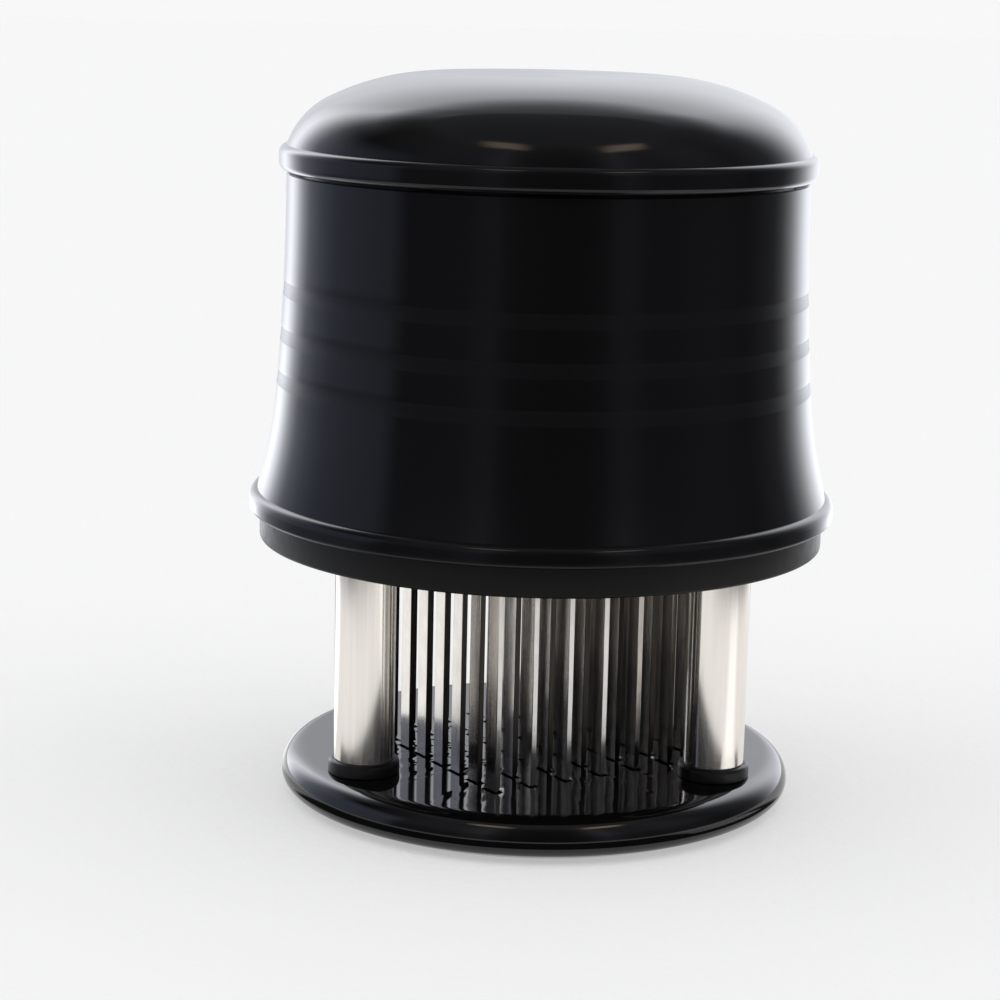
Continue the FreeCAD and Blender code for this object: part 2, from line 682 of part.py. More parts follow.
def dome_cap():
    """Cover with a beaded rim, a steep shoulder, a shallow crown and a small flat on top."""
    body = new_body("dome_cap")
    foot = f"({SEAM} + domeSeam)"
    rim_radius = f"({NECK_RADIUS} + domeRimProjection)"
    step_radius = f"({NECK_RADIUS} - domeStepWidth)"
    turn_radius = f"({step_radius} - domeShoulderWidth)"
    turn_height = f"({STEP_TOP} + domeShoulderHeight)"
    spigot_radius = f"({NECK_BORE} - domeSpigotFit)"
    spigot_bore = f"({spigot_radius} - domeSpigotWall)"
    # The crown leaves the flat level and runs on into the shoulder in one direction
    crown_width = f"({turn_radius} - domeFlatRadius)"
    crown_radius = upright_arc("domeCrownHeight", crown_width)
    shoulder_radius = (f"(domeShoulderWidth^2 + domeShoulderHeight^2) * ({crown_radius}) / 2"
                       f" / (domeShoulderHeight * ({crown_radius} - domeCrownHeight)"
                       f" - domeShoulderWidth * {crown_width})")
    turned(body, "Dome", [
        (spigot_bore, WEB_TOP),
        (spigot_radius, WEB_TOP),
        (spigot_radius, foot),
        (NECK_RADIUS, foot, upright_arc("domeRimProjection", "domeRimLowerRound")),
        (rim_radius, f"{foot} + domeRimLowerRound"),
        (rim_radius, f"{foot} + domeRimLowerRound + domeRimFlat",
         upright_arc("domeRimProjection", "domeRimUpperRound")),
        (NECK_RADIUS, f"{STEP_TOP} - domeStepHeight"),
        (step_radius, STEP_TOP, shoulder_radius),
        (turn_radius, turn_height, crown_radius),
        ("domeFlatRadius", DOME_TOP),
        ("0", DOME_TOP),
        ("0", f"{DOME_TOP} - domeWall"),
        ("domeFlatRadius", f"{DOME_TOP} - domeWall"),
        (f"{turn_radius} - domeWall / 2", f"{turn_height} - domeWall"),
        (spigot_bore, STEP_TOP),
    ])
    boss = new_sketch(body, "CapBossOutline", height=WEB_TOP)
    draw_circle(boss, f"capBossPitchRadius * cos({BOSS_ANGLES[0]})",
                f"capBossPitchRadius * sin({BOSS_ANGLES[0]})", "bossRadius")
    around(body, pad(body, "CapBoss", boss, f"{DOME_TOP} - domeWall - {WEB_TOP}"))
    holes(body, "CapTap", WEB_TOP, "capBossPitchRadius", BOSS_ANGLES[0], SMALL_TAP, "bossTapDepth")
    finish(body, "dome_cap")


# ---------------------------------------------------------------- assembly

guard_plate()
for number, angle in enumerate(POST_ANGLES, start=1):
    post(number, angle)
    post_collar(number, angle)
    stop_cap(number, angle)
    guide_bush(number, angle)
    spring(number, angle)
for number in range(1, ROWS + 1):
    blade_comb(number)
blade_carrier()
blade_clamp()
skirt_shell()
dome_cap()
all_screws()
doc.recompute()

for feature in doc.Objects:
    if "Invalid" in feature.State or "Error" in feature.State:
        raise RuntimeError(f"{feature.Label} failed: {feature.State}")
for feature in finished:
    if feature.Shape.isNull() or not feature.Shape.isValid():
        raise RuntimeError(f"{feature.Label} has no valid shape")

os.makedirs("parts", exist_ok=True)
for feature in finished:
    feature.Shape.exportStep(f"parts/{feature.Label}.step")
    print(f"{feature.Label:20} solids {len(feature.Shape.Solids)}  volume {feature.Shape.Volume:10.2f}")
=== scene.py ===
import math

import bmesh
import bpy
from mathutils import Matrix, Vector


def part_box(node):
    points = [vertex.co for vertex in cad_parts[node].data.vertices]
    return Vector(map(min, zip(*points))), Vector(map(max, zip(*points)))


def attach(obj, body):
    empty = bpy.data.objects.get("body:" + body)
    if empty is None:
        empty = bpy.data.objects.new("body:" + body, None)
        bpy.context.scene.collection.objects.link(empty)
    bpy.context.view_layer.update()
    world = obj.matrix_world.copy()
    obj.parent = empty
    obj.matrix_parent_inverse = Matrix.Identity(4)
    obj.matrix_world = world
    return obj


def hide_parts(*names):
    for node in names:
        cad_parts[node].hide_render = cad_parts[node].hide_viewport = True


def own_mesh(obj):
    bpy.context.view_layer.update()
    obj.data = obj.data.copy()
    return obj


mm = 0.001
up = (0, 0, 1)
weld = 0.001  # millimetres within which two points are one
close = 0.01  # millimetres within which two heights or widths are the same
through = 1  # millimetres that a cutter reaches past the faces that it opens
rodSides = 48  # of rods and tubes, unless a piece has its own number

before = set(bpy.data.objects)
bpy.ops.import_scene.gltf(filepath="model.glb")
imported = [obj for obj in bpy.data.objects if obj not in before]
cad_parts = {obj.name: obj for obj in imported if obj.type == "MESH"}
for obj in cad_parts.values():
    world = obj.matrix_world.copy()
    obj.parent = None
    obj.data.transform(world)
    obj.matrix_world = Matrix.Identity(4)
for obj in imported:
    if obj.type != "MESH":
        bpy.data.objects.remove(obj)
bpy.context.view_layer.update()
print("frame loaded")


# Reading the frame

def middleOf(node):
    low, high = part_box(node)
    return Vector(((low.x + high.x) / 2, (low.y + high.y) / 2, 0))


def heightsOf(node):
    low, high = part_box(node)
    return low.z / mm, high.z / mm


def radiusOf(node):
    low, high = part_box(node)
    return (high.x - low.x) / 2 / mm


# Drawing: a profile is drawn in millimetres, out along X and up along Z, and then turned about Z

def startAt(bm, x, z):
    return bmesh.ops.create_vert(bm, co=(x, 0, z))["vert"][0]


def lineTo(bm, last, x, z):
    new = bmesh.ops.extrude_vert_indiv(bm, verts=[last])["verts"][0]
    new.co = (x, 0, z)
    return new


def swingTo(bm, last, centre, degrees, steps):
    made = bmesh.ops.spin(bm, geom=[last], cent=(centre[0], 0, centre[1]), axis=(0, -1, 0),
                          angle=math.radians(degrees), steps=steps)
    return made["geom_last"][0]


def arcTo(bm, last, x, z, radius, steps):
    # Bulges to the right of its way, or to the left with a negative radius
    start, end = Vector((last.co.x, last.co.z)), Vector((x, z))
    chord = end - start
    side = Vector((chord.y, -chord.x)).normalized() * math.copysign(1, radius)
    centre = (start + end) / 2 - side * math.sqrt(radius ** 2 - chord.length_squared / 4)
    turn = (end - centre).angle_signed(start - centre)
    new = swingTo(bm, last, centre, math.degrees(turn), steps)
    new.co = (x, 0, z)
    return new


def uprightArc(run, rise):
    # Radius of an arc that is upright at one end and is this wide and this high
    return (run ** 2 + rise ** 2) / 2 / run


def turnAbout(bm, steps):
    bmesh.ops.spin(bm, geom=bm.verts[:] + bm.edges[:], cent=(0, 0, 0), axis=up,
                   angle=math.tau, steps=steps, use_merge=True)
    bmesh.ops.remove_doubles(bm, verts=bm.verts, dist=weld)
    bmesh.ops.recalc_face_normals(bm, faces=bm.faces)


def sharpEdges(bm, degrees):
    limit = math.radians(degrees)
    return [edge for edge in bm.edges if edge.is_manifold and edge.calc_face_angle() > limit]


def soften(bm, edges, width):
    bmesh.ops.bevel(bm, geom=edges, offset=width, segments=2, profile=0.5,
                    affect="EDGES", material=-1, clamp_overlap=True)


def pieceFrom(bm, name, materials, sharpAngle=24):
    bmesh.ops.scale(bm, vec=(mm, mm, mm), verts=bm.verts)
    mesh = bpy.data.meshes.new(name)
    bm.to_mesh(mesh)
    bm.free()
    for material in materials:
        mesh.materials.append(material)
    mesh.shade_smooth()
    mesh.set_sharp_from_angle(angle=math.radians(sharpAngle))
    piece = bpy.data.objects.new(name, mesh)
    bpy.context.scene.collection.objects.link(piece)
    return piece


def carved(bm, cutter):
    # Takes the closed shapes of the cutter out of the bmesh
    block = pieceFrom(bm, "block", [])
    tool = pieceFrom(cutter, "tool", [])
    difference = block.modifiers.new("carve", "BOOLEAN")
    difference.operation = "DIFFERENCE"
    difference.solver = "EXACT"
    difference.object = tool
    shown = block.evaluated_get(bpy.context.evaluated_depsgraph_get())
    result = bmesh.new()
    result.from_mesh(shown.to_mesh())
    shown.to_mesh_clear()
    for used in (block, tool):
        mesh = used.data
        bpy.data.objects.remove(used)
        bpy.data.meshes.remove(mesh)
    bmesh.ops.scale(result, vec=(1 / mm, 1 / mm, 1 / mm), verts=result.verts)
    return result


def addBox(bm, size, matrix):
    made = bmesh.ops.create_cube(bm, size=1)
    bmesh.ops.scale(bm, vec=size, verts=made["verts"])
    bmesh.ops.transform(bm, matrix=matrix, verts=made["verts"])


def addRod(bm, radius, low, high, x=0, y=0, sides=rodSides):
    place = Matrix.Translation((x, y, (low + high) / 2))
    bmesh.ops.create_cone(bm, cap_ends=True, segments=sides, radius1=radius, radius2=radius,
                          depth=high - low, matrix=place)


def addTube(bm, bore, radius, low, high, place):
    tube = bmesh.new()
    first = startAt(tube, bore, low)
    last = lineTo(tube, first, radius, low)
    last = lineTo(tube, last, radius, high)
    last = lineTo(tube, last, bore, high)
    tube.edges.new((last, first))
    turnAbout(tube, rodSides)
    bmesh.ops.translate(tube, vec=place, verts=tube.verts)
    mesh = bpy.data.meshes.new("tube")
    tube.to_mesh(mesh)
    tube.free()
    bm.from_mesh(mesh)
    bpy.data.meshes.remove(mesh)


def dress(piece, body, slot, *nodes):
    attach(piece, body)
    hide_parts(*nodes)


# Materials, all on the Object coordinates of their piece

usualNoise = (0.3, 0.7)  # most of a noise texture lies between these


class Paint:
    def __init__(self, name, colour, roughness, metallic=0.0):
        self.material = bpy.data.materials.new(name)
        self.material.use_nodes = True
        self.nodes = self.material.node_tree.nodes
        self.links = self.material.node_tree.links
        self.shader = self.nodes["Principled BSDF"]
        self.shader.inputs["Base Color"].default_value = (*colour, 1)
        self.shader.inputs["Roughness"].default_value = roughness
        self.shader.inputs["Metallic"].default_value = metallic

    def noise(self, scale, detail, stretch=(1, 1, 1)):
        coordinates = self.nodes.new("ShaderNodeTexCoord")
        mapping = self.nodes.new("ShaderNodeMapping")
        mapping.inputs["Scale"].default_value = stretch
        texture = self.nodes.new("ShaderNodeTexNoise")
        texture.inputs["Scale"].default_value = scale
        texture.inputs["Detail"].default_value = detail
        self.links.new(coordinates.outputs["Object"], mapping.inputs["Vector"])
        self.links.new(mapping.outputs["Vector"], texture.inputs["Vector"])
        return texture.outputs["Fac"]

    def spread(self, noise, low, high):
        ranged = self.nodes.new("ShaderNodeMapRange")
        ranged.inputs["From Min"].default_value = usualNoise[0]
        ranged.inputs["From Max"].default_value = usualNoise[1]
        ranged.inputs["To Min"].default_value = low
        ranged.inputs["To Max"].default_value = high
        self.links.new(noise, ranged.inputs["Value"])
        return ranged.outputs["Result"]

    def varyRoughness(self, noise, low, high):
        self.links.new(self.spread(noise, low, high), self.shader.inputs["Roughness"])

    def varyColour(self, noise, first, second):
        mix = self.nodes.new("ShaderNodeMix")
        mix.data_type = "RGBA"
        share, one, other, mixed = mix.inputs[0], mix.inputs[6], mix.inputs[7], mix.outputs[2]
        one.default_value = (*first, 1)
        other.default_value = (*second, 1)
        self.links.new(self.spread(noise, 0, 1), share)
        self.links.new(mixed, self.shader.inputs["Base Color"])

    def bump(self, noise, depth, strength):
        bump = self.nodes.new("ShaderNodeBump")
        bump.inputs["Strength"].default_value = strength
        bump.inputs["Distance"].default_value = depth
        self.links.new(noise, bump.inputs["Height"])
        self.links.new(bump.outputs["Normal"], self.shader.inputs["Normal"])


# Each finish has one colour, or two that its colourGrain mixes. A grain is a noise's scale and
# detail and, where it is stretched, its scale along X, Y and Z. A bump's depth is in metres.
finishes = {
    "glossBlack": {
        "colours": [(0.0050, 0.0050, 0.0056)],
        "roughness": (0.09, 0.13), "roughGrain": (90, 3),
        "bumpDepth": 0.00035, "bumpStrength": 0.06, "bumpGrain": (38, 1),
        "set": {"IOR": 1.36},
    },
    "plateBlack": {
        "colours": [(0.0026, 0.0026, 0.0028)],
        "roughness": (0.055, 0.085), "roughGrain": (90, 3),
        "bumpDepth": 0.00035, "bumpStrength": 0.05, "bumpGrain": (38, 1),
        "set": {"IOR": 1.50},
    },
    "bandBlack": {
        "colours": [(0.0066, 0.0066, 0.0074)],
        "roughness": (0.23, 0.27), "roughGrain": (2400, 2),
        "bumpDepth": 0.000004, "bumpStrength": 0.2, "bumpGrain": (5200, 2),
        "set": {"IOR": 1.34},
    },
    "lipBlack": {
        "colours": [(0.0028, 0.0028, 0.0031)],
        "roughness": (0.36, 0.44), "roughGrain": (700, 3),
        "bumpDepth": 0.000006, "bumpStrength": 0.2, "bumpGrain": (4200, 2),
        "set": {"IOR": 1.31},
    },
    "satinBlack": {
        "colours": [(0.016, 0.016, 0.017)],
        "roughness": (0.32, 0.46), "roughGrain": (400, 4),
        "bumpDepth": 0.00005, "bumpStrength": 0.6, "bumpGrain": (4200, 3),
    },
    "collarBlack": {
        "colours": [(0.0065, 0.0065, 0.0069)],
        "roughness": (0.32, 0.42), "roughGrain": (500, 3),
        "bumpDepth": 0.00003, "bumpStrength": 0.4, "bumpGrain": (3600, 2),
        "set": {"IOR": 1.4},
    },
    "bushWhite": {
        "colours": [(0.72, 0.71, 0.66), (0.77, 0.76, 0.72)], "colourGrain": (220, 3),
        "roughness": (0.30, 0.44), "roughGrain": (700, 3),
        "set": {"Subsurface Weight": 0.05, "Subsurface Scale": 0.002},
    },
    "postSteel": {
        "colours": [(0.895, 0.84, 0.775), (0.925, 0.875, 0.815)],
        "colourGrain": (2600, 3, (1, 1, 0.012)),
        "roughness": (0.13, 0.18), "roughGrain": (900, 3, (1, 1, 0.02)),
        "bumpDepth": 0.000006, "bumpStrength": 0.2, "bumpGrain": (2600, 3, (1, 1, 0.012)),
        "metallic": 1.0,
    },
    "bladeSteel": {
        "colours": [(0.52, 0.50, 0.475), (0.60, 0.58, 0.555)], "colourGrain": (260, 4),
        "roughness": (0.12, 0.20), "roughGrain": (1500, 4, (1, 1, 0.05)),
        "bumpDepth": 0.00002, "bumpStrength": 0.3, "bumpGrain": (900, 3),
        "metallic": 1.0,
    },
    # Sides between the teeth: punched rougher than the strip, and darker with painted shade
    "punchedSteelPaintedShade": {
        "colours": [(0.045, 0.040, 0.034), (0.12, 0.105, 0.09)],
        "colourGrain": (2200, 4, (1, 1, 0.08)),
        "roughness": (0.36, 0.52), "roughGrain": (2200, 4, (1, 1, 0.08)),
        "bumpDepth": 0.00003, "bumpStrength": 0.5, "bumpGrain": (2200, 4, (1, 1, 0.08)),
        "metallic": 1.0,
    },
    "groundSteel": {
        "colours": [(0.80, 0.80, 0.80)],
        "roughness": (0.14, 0.30), "roughGrain": (3800, 2, (0.05, 0.05, 1)),
        "bumpDepth": 0.00002, "bumpStrength": 0.6, "bumpGrain": (3800, 2, (0.05, 0.05, 1)),
        "metallic": 1.0,
    },
    "springSteel": {
        "colours": [(0.56, 0.56, 0.57)],
        "roughness": (0.24, 0.40), "roughGrain": (800, 3),
        "bumpDepth": 0.00002, "bumpStrength": 0.4, "bumpGrain": (3000, 2),
        "metallic": 1.0,
    },
    "screwSteel": {
        "colours": [(0.46, 0.46, 0.47), (0.60, 0.60, 0.60)], "colourGrain": (500, 3),
        "roughness": (0.26, 0.42), "roughGrain": (1100, 4),
        "bumpDepth": 0.00003, "bumpStrength": 0.4, "bumpGrain": (2600, 3),
        "metallic": 1.0,
    },
}


def makeFinish(name):
    finish = finishes[name]
    low, high = finish["roughness"]
    paint = Paint(name, finish["colours"][0], (low + high) / 2, finish.get("metallic", 0.0))
    paint.varyRoughness(paint.noise(*finish["roughGrain"]), low, high)
    if "colourGrain" in finish:
        paint.varyColour(paint.noise(*finish["colourGrain"]), *finish["colours"])
    if "bumpGrain" in finish:
        paint.bump(paint.noise(*finish["bumpGrain"]), finish["bumpDepth"], finish["bumpStrength"])
    for socket, value in finish.get("set", {}).items():
        paint.shader.inputs[socket].default_value = value
    return paint.material


finished = {name: makeFinish(name) for name in finishes}
print("materials made")


# Places that several pieces share

postPlaces = [middleOf(f"post_{number}") for number in (1, 2, 3)]
carrierTop = heightsOf("blade_carrier")[1]
boss = {"angles": (-90, 30, 150), "radius": 3.4, "bore": 1.35, "height": 12.0, "inset": 4.0}
carrierScrew = {"head": 2.6, "headHeight": 1.5, "shank": 1.3, "socket": 1.3, "socketDepth": 0.9}
carrierScrewPitch = -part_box("carrier_screws")[0].y / mm - carrierScrew["head"]

rows = {
    "count": 7,
    "teeth": 8,
    "angle": 30.0,
    "rowPitch": 6.8,
    "toothPitch": 5.6,
    "toothWidth": 2.9,
    "thickness": 1.0,
}


def bossPlaces(pitch):
    turns = [math.radians(angle) for angle in boss["angles"]]
    return [(pitch * math.cos(turn), pitch * math.sin(turn)) for turn in turns]


def rowMatrix(across, along, height):
    turned = Matrix.Rotation(math.radians(rows["angle"]), 4, "Z")
    return turned @ Matrix.Translation((across, along, height))


def slotCutter(bm, clearance, low, high):
    low, high = low - through, high + through
    size = (rows["thickness"] + 2 * clearance, rows["toothWidth"] + 2 * clearance, high - low)
    for row in range(rows["count"]):
        across = (row - (rows["count"] - 1) / 2) * rows["rowPitch"]
        for tooth in range(rows["teeth"]):
            along = (tooth - (rows["teeth"] - 1) / 2) * rows["toothPitch"]
            addBox(bm, size, rowMatrix(across, along, (low + high) / 2))


# Guard plate

plate = {
    "rimHeight": 3.5,
    "bevelWidth": 2.5,
    "bevelHeight": 1.1,
    "lowerRound": 1.9,
    "upperRound": 3.9,
    "slotClearance": 0.45,
    "socketDepth": 3.2,
    "socketRadius": 5.05,
    "holeRadius": 1.75,
    "sinkRadius": 3.7,
    "sinkDepth": 2.2,
    "edge": 0.14,
    "innerRing": 0.5,  # inside the round, where the flat top's own shading starts
    "sharpEdge": 60,
    "sharpAngle": 20,
    "steps": 240,
}


def makeGuardPlate():
    low, high = heightsOf("guard_plate")
    radius = radiusOf("guard_plate")
    rim, bevelTop = low + plate["rimHeight"], low + plate["bevelHeight"]
    foot = radius - plate["lowerRound"] - plate["bevelWidth"]
    bm = bmesh.new()
    last = startAt(bm, 0, low)
    last = lineTo(bm, last, foot - plate["edge"], low)
    last = lineTo(bm, last, foot + plate["edge"], low + plate["edge"] / 2)
    last = lineTo(bm, last, radius - plate["lowerRound"], bevelTop)
    last = arcTo(bm, last, radius, rim, uprightArc(plate["lowerRound"], rim - bevelTop), steps=10)
    last = arcTo(bm, last, radius - plate["upperRound"], high,
                 uprightArc(plate["upperRound"], high - rim), steps=16)
    last = lineTo(bm, last, radius - plate["upperRound"] - plate["innerRing"], high)
    lineTo(bm, last, 0, high)
    turnAbout(bm, plate["steps"])
    cutter = bmesh.new()
    slotCutter(cutter, plate["slotClearance"], low, high)
    for place in postPlaces:
        x, y = place.x / mm, place.y / mm
        addRod(cutter, plate["socketRadius"], high - plate["socketDepth"], high + through, x, y)
        addRod(cutter, plate["holeRadius"], low - through, high, x, y)
        addRod(cutter, plate["sinkRadius"], low - through, low + plate["sinkDepth"], x, y)
    bm = carved(bm, cutter)

    def onFace(end):
        return min(abs(end.co.z - low), abs(end.co.z - high)) < close

    mouths = [edge for edge in sharpEdges(bm, plate["sharpEdge"]) if all(map(onFace, edge.verts))]
    soften(bm, mouths, plate["edge"])
    piece = pieceFrom(bm, "guardPlate", [finished["plateBlack"]], plate["sharpAngle"])
    dress(piece, "guard", "black_gloss", "guard_plate")


makeGuardPlate()
print("guard plate made")


# Posts, and the collars at their feet

post = {"tapRadius": 1.65, "tapDepth": 9.0, "edge": 0.35, "steps": 128}
collar = {"fit": 0.05, "round": 0.7, "footEdge": 0.15, "steps": 96}


def makePost(number):
    node = f"post_{number}"
    low, high = heightsOf(node)
    radius = radiusOf(node)
    tap, edge = post["tapRadius"], post["edge"]
    tapEnds = low + post["tapDepth"], high - post["tapDepth"]
    bm = bmesh.new()
    last = startAt(bm, 0, tapEnds[0])
    for x, z in ((tap, tapEnds[0]), (tap, low), (radius - edge, low), (radius, low + edge),
                 (radius, high - edge), (radius - edge, high), (tap, high), (tap, tapEnds[1]),
                 (0, tapEnds[1])):
        last = lineTo(bm, last, x, z)
    turnAbout(bm, post["steps"])
    bmesh.ops.translate(bm, vec=postPlaces[number - 1] / mm, verts=bm.verts)
    dress(pieceFrom(bm, f"post{number}", [finished["postSteel"]]), "guard", "post_steel", node)


def makeCollar(number):
    node = f"post_collar_{number}"
    low, high = heightsOf(node)
    radius = radiusOf(node)
    bore = radiusOf(f"post_{number}") + collar["fit"]
    bm = bmesh.new()
    first = startAt(bm, bore, low)
    last = lineTo(bm, first, radius - collar["footEdge"], low)
    last = lineTo(bm, last, radius, low + collar["footEdge"])
    last = lineTo(bm, last, radius, high - collar["round"])
    last = arcTo(bm, last, radius - collar["round"], high, collar["round"], steps=8)
    last = lineTo(bm, last, bore, high)
    bm.edges.new((last, first))
    turnAbout(bm, collar["steps"])
    bmesh.ops.translate(bm, vec=postPlaces[number - 1] / mm, verts=bm.verts)
    piece = pieceFrom(bm, f"postCollar{number}", [finished["collarBlack"]])
    dress(piece, "guard", "collar_plastic", node)


for number in (1, 2, 3):
    makePost(number)
    makeCollar(number)
print("posts and collars made")


# Blade combs: a spine with eight teeth, stamped from strip, with ground tips

comb = {
    "spineHeight": 5.0,
    "spineOverhang": 0.4,
    "bevelHeight": 1.4,
    "tipLand": 0.2,
    "edge": 0.09,
    "sharpEdge": 25,
    "sharpAngle": 20,
}


def vertsOf(geometry):
    return [part for part in geometry if isinstance(part, bmesh.types.BMVert)]


def makeComb(number):
    node = f"blade_comb_{number}"
    tip, top = heightsOf(node)
    foot = top - comb["spineHeight"]
    thickness, half = rows["thickness"], rows["toothWidth"] / 2
    firstMiddle = -(rows["teeth"] - 1) / 2 * rows["toothPitch"]
    middles = [firstMiddle + tooth * rows["toothPitch"] for tooth in range(rows["teeth"])]
    flank = middles[-1] + half  # from the middle of the row to the outer side of its last tooth
    stations = [-flank - comb["spineOverhang"]]
    for middle in middles:
        stations += [middle - half, middle + half]
    stations.append(flank + comb["spineOverhang"])
    bm = bmesh.new()
    last = startAt(bm, stations[0], top)
    for x in stations[1:]:
        last = lineTo(bm, last, x, top)
    spine = bmesh.ops.extrude_edge_only(bm, edges=bm.edges[:])["geom"]
    bmesh.ops.translate(bm, vec=(0, 0, foot - top), verts=vertsOf(spine))
    roots = []
    for edge in bm.edges:
        low, high = sorted(end.co.x for end in edge.verts)
        level = all(abs(end.co.z - foot) < close for end in edge.verts)
        if level and abs(high - low - rows["toothWidth"]) < close:
            roots.append(edge)
    teeth = bmesh.ops.extrude_edge_only(bm, edges=roots)["geom"]
    bmesh.ops.translate(bm, vec=(0, 0, tip - foot), verts=vertsOf(teeth))
    sheet = bmesh.ops.extrude_face_region(bm, geom=bm.faces[:])["geom"]
    bmesh.ops.translate(bm, vec=(0, thickness, 0), verts=vertsOf(sheet))
    bmesh.ops.recalc_face_normals(bm, faces=bm.faces)
    bmesh.ops.translate(bm, vec=(0, -thickness / 2, 0), verts=bm.verts)
    width = thickness - comb["tipLand"]
    cut = bmesh.ops.bisect_plane(bm, geom=bm.verts[:] + bm.edges[:] + bm.faces[:], dist=weld,
                                 plane_co=(0, -thickness / 2, tip + comb["bevelHeight"]),
                                 plane_no=(0, -comb["bevelHeight"], -width),
                                 clear_outer=True)
    rims = [part for part in cut["geom_cut"] if isinstance(part, bmesh.types.BMEdge)]
    for face in bmesh.ops.holes_fill(bm, edges=rims, sides=4)["faces"]:
        face.material_index = 1
    bmesh.ops.recalc_face_normals(bm, faces=bm.faces)
    # Thin sides between teeth get the punched finish with painted shade; the comb's two outer ends
    # do not
    for face in bm.faces:
        thinSide = abs(face.normal.x) > 0.9
        if thinSide and abs(face.calc_center_median().x) < flank - close:
            face.material_index = 2
    soften(bm, sharpEdges(bm, comb["sharpEdge"]), comb["edge"])
    across = (number - 1 - (rows["count"] - 1) / 2) * rows["rowPitch"]
    quarter = Matrix.Rotation(math.radians(90), 4, "Z")
    bmesh.ops.transform(bm, matrix=rowMatrix(across, 0, 0) @ quarter, verts=bm.verts)
    steels = [finished["bladeSteel"], finished["groundSteel"], finished["punchedSteelPaintedShade"]]
    piece = pieceFrom(bm, f"bladeComb{number}", steels, comb["sharpAngle"])
    dress(piece, "head", "blade_steel", node)


for number in range(1, rows["count"] + 1):
    makeComb(number)
print("blade combs made")


# Skirt of the head, from the lip up to the seam

skirt = {
    "lipHeight": 4.9,
    "lipRound": 0.5,
    "lipInset": 0.45,
    "ringProjection": 1.28,
    "ringLower": 0.5,
    "ringFlat": 1.3,
    "ringUpper": 1.6,
    "flareHeight": 15.5,
    "flareRadius": 78.0,
    "sweepRadius": 420.0,
    "wall": 2.4,
    "bands": (3.4, 10.6, 18.1),
    "bandWidth": 2.4,
    "bandDepth": 0.07,
    "bandSlope": 0.45,
    "webTop": 1.2,
    "webThickness": 2.7,
    "webOpening": 20.0,
    "seatWidth": 2.0,
    "seatHeight": 2.0,
    "seamEdge": 0.2,
    "sharpAngle": 20,
    "steps": 240,
}
cup = {"bore": 6.5, "wall": 1.5, "height": 4.0}
rooted = 0.5  # millimetres that a cup or boss runs into what carries it


